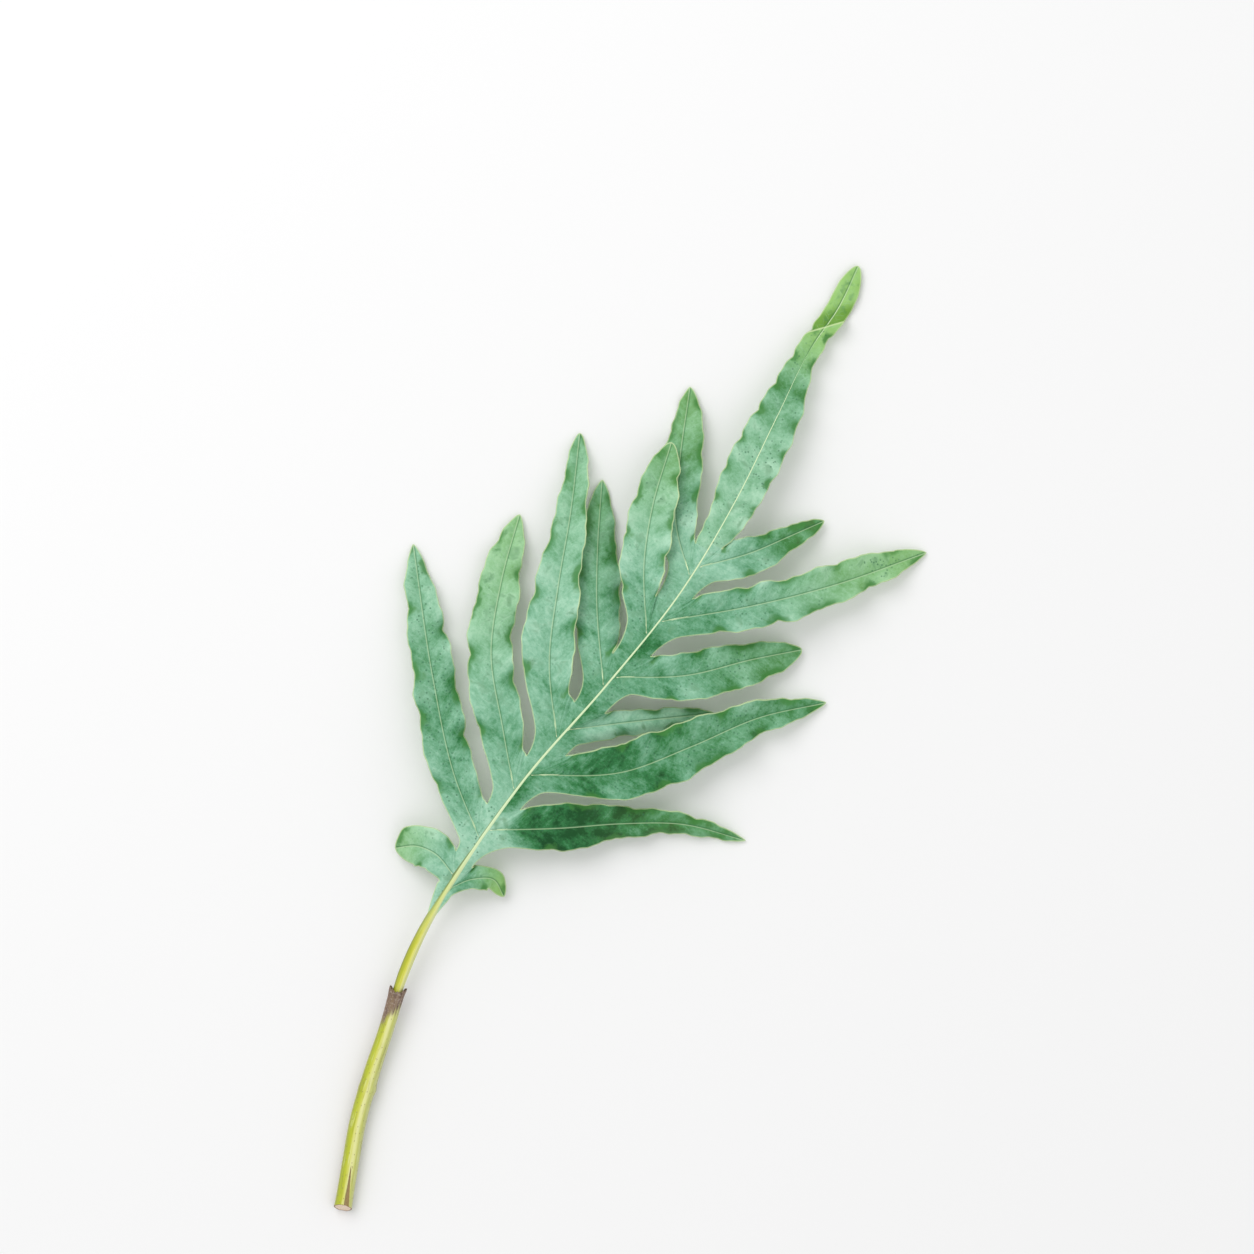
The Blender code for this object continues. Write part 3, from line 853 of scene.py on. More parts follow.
@dataclass(frozen=True)
class Lobe:
    """One lobe of the blade: where its midrib runs, how wide it is, how it droops and colours.

    Attributes:
        root: Station on the rachis where its midrib starts.
        midrib: Points that the midrib passes through, the last one being the lobe's tip.
        basal: Half-widths on the side of the cut end, at WIDTH_STATIONS after the first.
        apical: Half-widths on the side of the frond's tip.
        arch: Power of its droop: the height lost grows with the share of its length to this power.
        tip: Height of its tip.
        lift: How far its basal and its apical margin stand above the midrib.
        waves: Waves along each margin.
        scallop: How deep the waves cut into the outline.
        frill: How far the waves lift the margin up and down.
        bloom: Thickness of the wax near the root, half way and near the tip, 0 to 1. On the second
            and the fourth lobe on the right it also paints shade and light, as their comments say.
        young: Yellow-green of the last stretch, 0 to 1.
        specks: How many dark specks it has, 0 to 1.
        cap: Share of its length where the rounded tip starts, and how round: 0.5 for an ellipse.
    """

    root: float
    midrib: tuple[tuple[float, float], ...]
    basal: tuple[float, ...]
    apical: tuple[float, ...]
    arch: float
    tip: float
    lift: tuple[float, float] = (0.0, 0.0)
    waves: float = 5.0
    scallop: float = 0.8
    frill: float = 1.1
    bloom: tuple[float, float, float] = (0.65, 0.65, 0.6)
    young: float = 0.15
    specks: float = 0.4
    cap: tuple[float, float] = (0.86, 0.65)


# Shares of a lobe's length. Its half-widths are given at all but the first and the last of
# WIDTH_STATIONS: the root is as wide as the first of them, and the tip LAST_WIDTH times the last
# one, where the rounded cap closes it. Its three bloom values stand at BLOOM_STATIONS.
WIDTH_STATIONS = (0.0, 0.08, 0.3, 0.5, 0.7, 0.9, 1.0)
LAST_WIDTH = 0.7
BLOOM_STATIONS = (0.12, 0.5, 0.92)

# Lobes of each side from the wing's foot up, with their fields in the order of the class.
LEFT_LOBES = (
    Lobe(147, ((-39, 151.5), (-46.5, 150.5), (-54.5, 145)), (6, 7.4, 8, 8.4, 8), (6, 8.6, 9.2, 9.2, 8.8),
         2.6, 4.0, (-1, 0), 2.0, 0.4, 0.7, (0.72, 0.74, 0.7), 0.5, 0.5, (0.62, 0.5)),
    Lobe(166, ((-46, 184), (-75, 217), (-110, 263)), (8, 9.4, 9, 7.4, 5.2), (8.4, 9.4, 9.8, 8.8, 5.2),
         1.7, 1.0, (1, -1), 5.2, 1.7, 1.9, (0.55, 0.5, 0.76), 0.1, 1.0),
    Lobe(191, ((-38, 212), (-58, 238), (-69, 267), (-76, 296)),
         (8.6, 10.8, 10.2, 9.6, 6.6), (7, 9.2, 9, 8.6, 5.6),
         1.7, 1.6, (-1, 1), 4.6, 1.5, 1.6, (0.44, 0.71, 0.7), 0.5, 0.1, (0.86, 0.6)),
    Lobe(219, ((-34, 246), (-47, 278), (-57, 307), (-70, 339)),
         (8.8, 12, 10, 7, 4.2), (7, 10.4, 9.4, 7.4, 4.8),
         2.2, 1.0, (0, 3), 4.8, 1.2, 1.7, (0.6, 0.78, 0.58), 0.2, 0.2, (0.9, 0.5)),
    Lobe(248, ((-29, 279), (-40, 300), (-52, 326)), (8.4, 9.6, 8.6, 7.2, 4.6), (6.5, 9, 10.2, 7.8, 4.6),
         1.1, 1.0, (-3, -3), 4.0, 1.0, 1.2, (0.56, 0.57, 0.5), 0.2, 0.3),
    Lobe(276, ((-20, 305), (-27.5, 326), (-33.5, 354)), (7.8, 10, 9.8, 8.6, 5.8), (6.4, 8.3, 10.4, 9.8, 6.6),
         2.0, 10.5, (1, 3.5), 4.4, 1.2, 1.6, (0.47, 0.86, 0.46), 0.35, 0.3, (0.85, 0.5)),
    Lobe(307, ((-15, 324), (-25, 345), (-38, 379)), (7, 8, 8, 6.6, 3.8), (7, 8.8, 9.8, 9.4, 6),
         0.85, 1.4, (-3.5, 1), 4.0, 0.9, 1.1, (0.9, 0.57, 0.46), 0.4, 0.4),
)
RIGHT_LOBES = (
    Lobe(140, ((-19, 149.5), (-11, 153.5), (-3.5, 149)), (3, 3.6, 5.1, 5, 4.4), (4.6, 5, 4.8, 4.4, 4),
         2.8, 4.0, (-1, -1), 2.0, 0.3, 0.5, (0.5, 0.52, 0.5), 0.95, 0.2, (0.58, 0.5)),
    # Thin wax, and its very low bloom also paints shade on a lobe that droops away from the light.
    Lobe(171, ((4, 187), (26, 201), (49, 213), (76, 219.5)),
         (7.8, 9.8, 6.6, 4.8, 3), (8.4, 10.4, 7.8, 5.2, 3),
         1.6, 1.0, (-3, 1), 4.6, 0.9, 1.4, (0.02, 0.12, 0.4), 0.2, 0.5),
    Lobe(200, ((16, 221), (36, 244), (56, 269), (78, 288)), (7.6, 11.4, 12, 8.4, 5), (8, 12, 11.8, 8.6, 5),
         2.2, 1.4, (0, 3), 5.4, 1.4, 1.9, (0.23, 0.38, 0.42), 0.1, 0.6),
    # Its high bloom paints light over the shadow that the neighbouring lobe lying on it casts.
    Lobe(225, ((13, 244), (38, 261)), (7, 6, 5.6, 5, 3.6), (7, 5.6, 4.8, 4.2, 3.2),
         0.9, 4.0, (-4, -1), 3.0, 0.6, 1.0, (0.8, 0.84, 0.76), 0.1, 0.2, (0.8, 0.6)),
    Lobe(254, ((20, 270), (41, 289), (58, 303)), (7.4, 10.2, 11, 10.8, 7.4), (7.4, 9, 9.6, 7.6, 5),
         1.8, 3.0, (1, -1), 3.8, 0.8, 1.3, (0.55, 0.47, 0.44), 0.2, 0.5, (0.84, 0.5)),
    Lobe(284, ((30, 309), (58, 335), (85, 365)), (8, 9.4, 9.8, 7, 4.2), (7.6, 8.8, 8.4, 8.8, 6),
         1.8, 1.0, (1, 1), 5.4, 1.6, 1.8, (0.46, 0.68, 0.56), 0.6, 0.5),
    Lobe(312, ((19, 329), (30, 343), (40, 356)), (7.8, 9.4, 8.8, 6.2, 3.8), (7.4, 7.4, 6, 4.6, 3.4),
         1.5, 3.0, (1, -1), 3.2, 0.7, 1.1, (0.86, 0.46, 0.14), 0.2, 0.3),
)


@dataclass(frozen=True)
class EndLobe:
    """The long lobe that ends the frond, whose midrib is the rachis itself.

    Attributes:
        stations: Stations along the frond at which its half-widths are given.
        left: Half-widths left of the rachis.
        right: Half-widths right of it.
        cap: Station where the rounded tip starts.
        waves: Waves along each margin.
        crests: Phase of the waves at the notch, in whole waves, left and right.
        scallop: How deep they cut into the outline.
        frill: How far they lift the margin.
        crease: Station where the leaf folds over a step near its tip.
        slant: How far the crease moves along the frond for each millimetre to the right.
        crease_middle: Sideways place at which the crease stands at its own station.
        drop: Height of the step.
        lip: How far the leaf rises just before it.
        level_from: Station from which the step fades out, to nothing at the tip.
        level_mm: Length over which it does.
        wax: Stations and the thickness of the wax there.
        young: Yellow-green at the notch, and how much more there is past young_to.
        young_from: Station from which it grows.
        young_to: Station at which it is full.
    """

    stations: tuple[float, ...] = (321, 335, 350, 377, 393, 410, 422, 435, 450, 459)
    left: tuple[float, ...] = (6.5, 7.5, 10.6, 10.2, 8.2, 6, 5.2, 5, 4.9, 3.8)
    right: tuple[float, ...] = (6.5, 8.6, 9.8, 10.6, 9, 5.2, 4.6, 5.4, 5.2, 4.2)
    cap: float = 445.0
    waves: float = 10.0
    crests: tuple[float, float] = (-0.06, 0.0)
    scallop: float = 1.2
    frill: float = 1.3
    crease: float = 430.0
    slant: float = 1.0
    crease_middle: float = 2.0
    drop: float = 2.6
    lip: float = 0.5
    level_from: float = 438.0
    level_mm: float = 21.0
    wax: tuple[tuple[float, float], ...] = (
        (321, 0.76), (350, 0.76), (378, 0.68), (396, 0.42), (414, 0.58), (430, 0.66))
    young: tuple[float, float] = (0.12, 0.82)
    young_from: float = 396.0
    young_to: float = 430.0

    def beyond(self, points: Array) -> Array:
        """How far past the crease each point lies, in millimetres along the frond."""
        return points[..., 1] - self.crease - self.slant * (points[..., 0] - self.crease_middle)

    def past_crease(self, points: Array) -> Array:
        """Share of the step that each point has taken, from 0 before the crease to 1 after it."""
        return smoothstep(self.beyond(points) / 1.5)

    def fold(self, points: Array) -> None:
        """Raise a low lip before the crease and lower what lies past it by the step.

        Both fade out from level_from to the tip.

        Args:
            points: Points that are moved where they are.
        """
        fade = 1.0 - smoothstep((points[..., 1] - self.level_from) / self.level_mm)
        rise = self.lip * bell(self.beyond(points) + 0.8, 1.6)
        points[..., 2] += fade * (rise - self.drop * self.past_crease(points))


@dataclass
class Blade:
    """The leaf sheet, from the foot of its wing to the frond's tip.

    Each half of a lobe is a grid. Its first column runs up the rachis and out along the lobe's
    midrib, its last one runs from the notch round the margin to the tip, and rows join the two.
    Both halves of a lobe share the midrib, and neighbours share the row at their notch.

    Attributes:
        line: Centre line that the lobes spring from.
        end: The lobe that ends the frond.
        finish: The skins of the sheet.
        left_notches: Plan place of the bottom of the notch above each lobe on the left.
        right_notches: The same on the right.
        wing_foot: Station where the narrow wing beside the stalk starts.
        tip: Station of the frond's tip.
        wing_sag: How far the notches lie below the rachis.
        sheet_mm: Thickness of the sheet.
        rests_at: Lowest height of its middle, which keeps its lower skin off the table.
        rachis_step: Greatest length of a row along the rachis.
        fine_step: The same past fine_from, where the leaf folds at the crease.
        fine_from: Station from which rows are that fine.
        lobe_step: Mean length of a row along a lobe.
        fewest_rows: Fewest rows of a lobe.
        crowding: Power by which a lobe's rows crowd towards its tip.
        measure_points: Points at which a midrib's length is measured.
        middle_columns: Columns of the even part between rib and margin.
        web: Share of a lobe's margin that belongs to the rows beside the rachis.
        most_pull: Greatest share of a lobe's length over which its notch pulls the margin in.
        puff: Height of the even swell between rib and margin.
        quilt: Height of the pillows between side veins.
        vein_lean: How far a side vein runs up the lobe for each millimetre outwards.
        painted_wave_light: How much lighter the crests of the margin are painted than the hollows between
            them: painted light and shade of the waves.
        hollow_mm: How far the green hollows reach in from the margin.
        beside_rachis: Distance from the midrib that a row beside the rachis is taken to have, so
            that no midrib is drawn there.
    """

    line: StalkLine
    end: EndLobe
    finish: LeafFinish
    left_notches: tuple[tuple[float, float], ...] = (
        (-31, 157), (-29, 181), (-24, 207), (-17, 237), (-12.5, 263), (-8, 293), (-4, 321))
    right_notches: tuple[tuple[float, float], ...] = (
        (-21.5, 154), (-15, 185.5), (-9, 215), (-3, 239), (2.5, 269.5), (6.5, 299.5), (7, 324))
    wing_foot: float = 126.0
    tip: float = 459.0
    wing_sag: float = 1.2
    sheet_mm: float = 0.36
    rests_at: float = 0.35
    rachis_step: float = 1.5
    fine_step: float = 0.6
    fine_from: float = 420.0
    lobe_step: float = 1.0
    fewest_rows: int = 24
    crowding: float = 1.2
    measure_points: int = 40
    middle_columns: int = 5
    web: float = 0.045
    most_pull: float = 0.6
    puff: float = 0.7
    quilt: float = 0.1
    vein_lean: float = 0.58
    painted_wave_light: float = 0.2
    hollow_mm: float = 3.0
    beside_rachis: float = 3.0

    # Wax beside the rachis: station and thickness. On the right, painted shade darkens some
    # hollows beside the rachis, each given by its station, its length and how dark it is painted.
    web_wax = ((150, 0.8), (172, 0.9), (195, 0.64), (230, 0.56), (258, 0.4), (290, 0.54), (320, 0.8))
    web_shaded_hollows = ((190, 11, 0.55), (232, 7, 0.25), (272, 8, 0.32))

    # Place before the crease that every lobe but the end one is given, far from its effect.
    no_crease = -60.0

    # Columns stand this many millimetres from the rib and from the margin, and closer where the
    # lobe is narrow, at no more than these shares of its half-width.
    near_rib = np.array([0.0, 0.22, 0.5, 0.95, 1.7])
    near_rib_share = np.array([0.0, 0.06, 0.12, 0.2, 0.3])
    near_edge = np.array([1.1, 0.45, 0.0])
    near_edge_share = np.array([0.2, 0.08, 0.0])

    def wing_reach(self, hand: Hand) -> tuple[float, float]:
        """How far the wing stands out beside the lowest lobe, and how far below its root."""
        return (5.4, 6.0) if hand is Hand.LEFT else (2.9, 3.6)

    def rachis_stations(self) -> Array:
        """Stations that both sides share, so that their rows meet along the rachis.

        Returns:
            Every root and notch, with even steps between them.
        """
        marks = [self.wing_foot, self.fine_from, self.tip]
        marks += [lobe.root for lobe in LEFT_LOBES + RIGHT_LOBES]
        marks += [notch[1] for notch in self.left_notches + self.right_notches]
        marks = np.unique(np.array(marks, float))
        filled = [marks[:1]]
        for low, high in zip(marks, marks[1:]):
            step = self.fine_step if low >= self.fine_from else self.rachis_step
            count = max(1, math.ceil((high - low) / step))
            filled.append(np.linspace(low, high, count + 1)[1:])
        return np.concatenate(filled)

    def notch_point(self, plan: tuple[float, float]) -> Array:
        """Bottom of the notch between two lobes, a little lower than the rachis beside it."""
        return np.array([plan[0], plan[1], self.line.sheet(plan[1])[2] - self.wing_sag])

    def midrib(self, lobe: Lobe, share: Array) -> Array:
        """Points of a lobe's midrib.

        In plan it is a smooth curve through its points. Its height falls from the rachis to the
        tip by the share of the length to the power arch.

        Args:
            lobe: The lobe.
            share: Shares of its length, from 0 at the rachis to 1 at the tip.

        Returns:
            One point for each share.
        """
        root = self.line.sheet(lobe.root)
        plan = np.array([root[:2], *lobe.midrib], float)
        run = run_of(plan)
        height = lobe.tip + (root[2] - lobe.tip) * (1.0 - share**lobe.arch)
        return np.column_stack([through(run / run[-1], plan, share), height])

    def length(self, lobe: Lobe) -> float:
        """Length of a lobe's midrib."""
        return run_of(self.midrib(lobe, np.linspace(0.0, 1.0, self.measure_points)))[-1]

    @staticmethod
    def phase(waves: float, share: Array, side: Side) -> Array:
        """Phase of the wavy margin in whole waves: a crest stands out at each whole number.

        A slow sine on top makes the waves uneven in length.

        Args:
            waves: Waves along the whole margin.
            share: Shares of the lobe's length.
            side: Which half of the lobe, as the waves of the two don't stand opposite.

        Returns:
            The phase at each share.
        """
        phase = waves * share + (0.35 if side is Side.BASAL else 0.8)
        return phase + 0.12 * np.sin(4.3 * phase)

    @staticmethod
    def scallops(phase: Array, depth: float, share: Array) -> Array:
        """Offset of the outline: broad crests between narrow necks.

        It is |cos(pi * phase)| ** 0.85 about its own mean, and fades out at both ends.

        Args:
            phase: Phase of the wavy margin.
            depth: Offset from crest to neck.
            share: Shares of the margin's length.

        Returns:
            The offset outwards at each share.
        """
        crest = np.abs(np.cos(math.pi * phase)) ** 0.85 - 0.66
        return depth * crest * smoothstep((share - 0.1) / 0.2) * smoothstep((1.0 - share) / 0.15)

    @staticmethod
    def hollows(phase: Array) -> Array:
        """Depth of the hollows between crests, from 0 to 1: ((1 - cos(2 pi phase)) / 2) ** 1.5."""
        return (0.5 - 0.5 * np.cos(TURN * phase)) ** 1.5

    def open_margin(self, lobe: Lobe, side: Side, hand: Hand, share: Array) -> Array:
        """Margin of half a lobe as if nothing joined it to its neighbour.

        It lies square to the midrib at a half-width given by a smooth curve plus the scallops.

        Args:
            lobe: The lobe.
            side: Which half of it.
            hand: Which side of the rachis it grows on.
            share: Shares of the lobe's length.

        Returns:
            One point for each share, at the midrib's height.
        """
        edge = self.midrib(lobe, share)
        nudge = 0.002
        before = self.midrib(lobe, np.clip(share - nudge, 0.0, 1.0))[:, :2]
        after = self.midrib(lobe, np.clip(share + nudge, 0.0, 1.0))[:, :2]
        ahead = unit(after - before)
        turn = hand.value if side is Side.BASAL else -hand.value
        outward = np.column_stack([ahead[:, 1], -ahead[:, 0]]) * turn
        widths = lobe.basal if side is Side.BASAL else lobe.apical
        width = through(WIDTH_STATIONS, (widths[0], *widths, LAST_WIDTH * widths[-1]), share)
        width = width + self.scallops(self.phase(lobe.waves, share, side), lobe.scallop, share)
        run = run_of(edge)
        # A few tenths of a millimetre of raggedness, in two sines that differ from lobe to lobe.
        seed = 2.0 * lobe.root + turn
        ragged = 0.28 * np.sin(run / 1.9 + seed) + 0.1 * np.sin(run / 0.83 + 2.0 * seed)
        width = width + ragged * smoothstep((share - 0.1) / 0.2) * smoothstep((1.0 - share) / 0.1)
        start, power = lobe.cap
        past = np.clip((share - start) / (1.0 - start), 0.0, 1.0)
        width = np.maximum(width, 0.0) * (1.0 - past**2) ** power
        edge[:, :2] += outward * width[:, None]
        return edge

    def margin(self, lobe: Lobe, side: Side, hand: Hand, notch: Array, share: Array) -> Array:
        """Margin of half a lobe, joined to the notch below or above it.

        Past the joint it is the open margin. Up to there it is one cubic from the notch, which
        leaves along the rachis on a basal half and straight for the lobe on an apical half.

        Args:
            lobe: The lobe.
            side: Which half of it.
            hand: Which side of the rachis it grows on.
            notch: Point that the margin starts from.
            share: Shares of the lobe's length, rising from 0.

        Returns:
            One point for each share.
        """
        length = self.length(lobe)
        edge = self.open_margin(lobe, side, hand, share)
        gap = np.linalg.norm(notch - self.open_margin(lobe, side, hand, np.zeros(1))[0])
        joint = min((1.0 if side is Side.BASAL else 1.6) * gap / length, self.most_pull)
        nudge = 0.01
        near = self.open_margin(lobe, side, hand, np.array([joint, joint + nudge]))
        target, leave = near[0], (near[1] - near[0]) / nudge * joint
        chord = target - notch
        if side is Side.BASAL:
            along = unit(self.line.sheet(notch[1] + 1.0) - self.line.sheet(notch[1] - 1.0))
            depart = along * np.linalg.norm(chord) * 1.25
        else:
            depart = chord
        t = np.clip(share / joint, 0.0, 1.0)[:, None]
        cubic = (notch * (1 + 2 * t) * (1 - t) ** 2 + depart * t * (1 - t) ** 2
                 + target * t**2 * (3 - 2 * t) - leave * t**2 * (1 - t))
        return np.where(share[:, None] < joint, cubic, edge)

    def columns(self, reach: Array) -> Array:
        """Distance of each column from the rib, for each row's half-width.

        Args:
            reach: Half-width of each row.

        Returns:
            Rows by columns of millimetres: close together at rib and margin, even between.
        """
        near = np.minimum(self.near_rib, reach[:, None] * self.near_rib_share)
        far = reach[:, None] - np.minimum(self.near_edge, reach[:, None] * self.near_edge_share)
        t = np.linspace(0.0, 1.0, self.middle_columns + 2)[1:-1]
        middle = near[:, -1:] + (far[:, :1] - near[:, -1:]) * t
        return np.concatenate([near, middle, far], axis=1)

    def patch(self, inner: Array, outer: Array, rows: dict[str, Array], turned: bool) -> Patch:
        """Fill the sheet between a rib and a margin.

        Rows are straight from rib to margin. Onto them come the midrib's fine ridge in a shallow
        valley, an even swell between rib and margin, a lift and frill that grow to the margin
        with the 1.8th power of the share across, and low pillows between the side veins.

        Args:
            inner: One point on the rib for each row.
            outer: One point on the margin for each row.
            rows: Numbers for each row: rise, ridge, puff, quilt, arc, rib, dark_side, bloom,
                painted_wave_light, young, hollow, specks.
            turned: Whether the faces run the other way round.

        Returns:
            The finished patch.
        """
        reach = np.linalg.norm(outer - inner, axis=1)
        away = self.columns(reach)
        share = away / np.maximum(reach, 1e-6)[:, None]
        points = inner[:, None, :] + (outer - inner)[:, None, :] * share[..., None]
        row = {name: value[:, None] for name, value in rows.items()}
        vein = (row["arc"] - self.vein_lean * away) / self.finish.vein_mm
        dome = 4.0 * share * (1.0 - share)
        points[..., 2] += row["ridge"] * (0.3 * bell(away, 0.24) - 0.42 * bell(away, 1.2))
        points[..., 2] += row["puff"] * dome + row["rise"] * share**1.8
        points[..., 2] -= row["quilt"] * np.cos(TURN * vein) * dome
        edge_mm = distance_to(points, outer)
        rib_mm = away + row["rib"]
        flat = np.zeros_like(away)
        values = {
            "rib_mm": rib_mm,
            "edge_mm": edge_mm,
            "along_mm": row["arc"] + flat,
            "signed_mm": rib_mm * row["dark_side"],
            "vein": vein,
            "crease_mm": self.no_crease + flat,
            # Painted light and shade: the crests of the margin's waves are lighter and the hollows between
            # them darker.
            "bloom": row["bloom"] + row["painted_wave_light"] * share,
            "young": row["young"] + flat,
            "hollow": row["hollow"] * bell(edge_mm, self.hollow_mm),
            "specks": row["specks"] + flat,
        }
        return Patch(points, values, turned)

    def half_lobe(self, lobe: Lobe, side: Side, hand: Hand, notch_plan: tuple[float, float],
                  stations: Array) -> Patch:
        """One half of one lobe with its share of the web beside the rachis.

        Args:
            lobe: The lobe.
            side: Which half of it.
            hand: Which side of the rachis it grows on.
            notch_plan: Plan place of the notch that bounds it, or of the wing's foot.
            stations: Stations along the rachis that all patches share.

        Returns:
            The half as a patch.
        """
        low, high = sorted((float(lobe.root), float(notch_plan[1])))
        along = stations[(stations >= low) & (stations <= high)]
        if side is Side.APICAL:
            along = along[::-1]
        web_rows = len(along)
        count = max(self.fewest_rows, round(self.length(lobe) / self.lobe_step))
        # Rows crowd a little towards the tip, where the outline turns fastest.
        share = 1.0 - (1.0 - np.linspace(0.0, 1.0, count + 1)) ** self.crowding
        line = self.midrib(lobe, share)
        inner = np.concatenate([self.line.sheet(along), line[1:]])
        if notch_plan[1] == self.wing_foot:
            wing = self.wing_edge(hand, along)
            outer = np.concatenate([wing, self.margin(lobe, side, hand, wing[-1], share)[1:]])
            past_web = share[1:]
        else:
            past_web = self.web + (1.0 - self.web) * share[1:]
            outer_share = np.concatenate([np.linspace(0.0, self.web, web_rows), past_web])
            outer = self.margin(lobe, side, hand, self.notch_point(notch_plan), outer_share)
        lobe_share = np.concatenate([np.zeros(web_rows), share[1:]])
        margin_share = np.concatenate([np.zeros(web_rows), past_web])
        phase = self.phase(lobe.waves, margin_share, side)
        grown = smoothstep(margin_share / 0.3) * smoothstep((1.0 - margin_share) / 0.2)
        lift = lobe.lift[0] if side is Side.BASAL else lobe.lift[1]
        started = smoothstep(lobe_share / 0.05)
        arc = np.concatenate([-np.abs(along - lobe.root), run_of(line)[1:]])
        rows = {
            "rise": (lift + lobe.frill * np.cos(TURN * phase)) * grown,
            "ridge": started * (1.0 - 0.75 * lobe_share),
            "puff": self.puff * (0.7 + 0.3 * started) * smoothstep((1.0 - lobe_share) / 0.1),
            "quilt": self.quilt * started * smoothstep((1.0 - lobe_share) / 0.2),
            "arc": arc,
            "rib": np.where(np.arange(len(arc)) < web_rows, self.beside_rachis, 0.0),
            "dark_side": np.full(len(arc), 1.0 if side is Side.APICAL else -1.0),
            "bloom": np.interp(lobe_share, BLOOM_STATIONS, lobe.bloom),
            # Painted light on the crests of the margin's waves and painted shade between them.
            "painted_wave_light": self.painted_wave_light * np.cos(TURN * phase) * grown,
            "young": lobe.young * smoothstep((lobe_share - 0.25) / 0.75),
            "hollow": self.hollows(phase) * smoothstep(margin_share / 0.2),
            "specks": np.full(len(arc), lobe.specks),
        }
        # The lobe's own wax takes over from that beside the rachis within its first fifth.
        at = np.concatenate([along, np.full(len(arc) - web_rows, float(lobe.root))])
        # Painted shade in the hollows beside the rachis on the right, taken off the wax's tone.
        shade = self.web_shade(hand, at)
        beside = np.interp(at, *zip(*self.web_wax)) - shade
        blend = smoothstep(lobe_share / 0.18)
        rows["bloom"] = beside + (rows["bloom"] - beside) * blend
        # The painted shade fades out towards the margin through the painted wave light.
        rows["painted_wave_light"] = rows["painted_wave_light"] + 0.8 * shade * (1.0 - blend)
        turned = (hand is Hand.RIGHT) == (side is Side.BASAL)
        return self.patch(inner, outer, rows, turned)

    def web_shade(self, hand: Hand, along: Array) -> Array:
        """How much painted shade darkens the web beside the rachis: a bell at each hollow on the right, else
        none.
        """
        missing = sum(depth * bell(along - at, length) for at, length, depth in self.web_shaded_hollows)
        return missing * (hand is Hand.RIGHT)

    def wing_edge(self, hand: Hand, along: Array) -> Array:
        """Edge of the narrow wing beside the stalk, from its foot up to the lowest lobe.

        It starts inside the stalk and stands out from it with the 0.9th power of the way up.

        Args:
            hand: Which side of the stalk.
            along: Stations from the wing's foot to the lobe's root.

        Returns:
            One point for each station.
        """
        share = (along - along[0]) / (along[-1] - along[0])
        reach, drop = self.wing_reach(hand)
        edge = self.line.sheet(along)
        edge[:, 0] += hand.value * (self.line.radius(along) * 0.6 * (1 - share) + reach * share**0.9)
        edge[:, 1] -= drop * share
        return edge

    def end_half(self, hand: Hand, notch_plan: tuple[float, float], stations: Array) -> Patch:
        """Half of the end lobe, between the rachis and its margin.

        Args:
            hand: Which side of the rachis.
            notch_plan: Plan place of the notch below it.
            stations: Stations along the rachis that all patches share.

        Returns:
            The half as a patch, already folded at the crease.
        """
        end = self.end
        notch = self.notch_point(notch_plan)
        along = stations[stations >= notch_plan[1]]
        share = (along - along[0]) / (along[-1] - along[0])
        to_tip = 1.0 - share
        inner = self.line.sheet(along)
        phase = end.waves * share + end.crests[0 if hand is Hand.LEFT else 1]
        widths = end.left if hand is Hand.LEFT else end.right
        past = smoothstep((along - end.crease + 6.0) / 10.0)
        calmer = 1.0 - 0.7 * past
        width = through(end.stations, widths, along)
        width = width + self.scallops(phase, end.scallop, share) * (1.0 - past)
        width += 0.2 * np.sin(0.9 * along + hand.value) * smoothstep(to_tip / 0.1) * calmer
        past_cap = np.clip((along - end.cap) / (self.tip - end.cap), 0.0, 1.0)
        width = np.maximum(width, 0.0) * np.sqrt(1.0 - past_cap**2)
        outer = inner.copy()
        outer[:, 0] += hand.value * width
        pull = np.clip(1.0 - share / 0.12, 0.0, 1.0) ** 2
        outer += (notch - outer[0]) * pull[:, None]
        crests = np.cos(TURN * phase) * smoothstep(share / 0.1)
        yellowing = smoothstep((along - end.young_from) / (end.young_to - end.young_from))
        rows = {
            "rise": end.frill * crests * smoothstep(to_tip / 0.3),
            # The rachis hides the midrib's ridge up to where it has thinned out.
            "ridge": 0.6 * smoothstep((along - 415.0) / 20.0) * smoothstep(to_tip / 0.05),
            "puff": self.puff * 0.7 * smoothstep(to_tip / 0.1),
            "quilt": self.quilt * smoothstep(share / 0.08) * smoothstep(to_tip / 0.2),
            "arc": along - along[0] + 3.0,
            "rib": 1.0 - smoothstep((along - 400.0) / 25.0),
            "dark_side": np.full(len(along), -float(hand.value)),
            "bloom": np.interp(along, *zip(*end.wax)),
            # Painted light on the crests of the waves and painted shade between them.
            "painted_wave_light": self.painted_wave_light * crests,
            "young": end.young[0] + end.young[1] * yellowing,
            "hollow": self.hollows(phase) * smoothstep(share / 0.1) * calmer,
            "specks": 0.6 * (1.0 - past),
        }
        patch = self.patch(inner, outer, rows, hand is Hand.RIGHT)
        patch.values["crease_mm"] = end.beyond(patch.points)
        patch.values["young"] = np.maximum(patch.values["young"], end.past_crease(patch.points))
        end.fold(patch.points)
        return patch

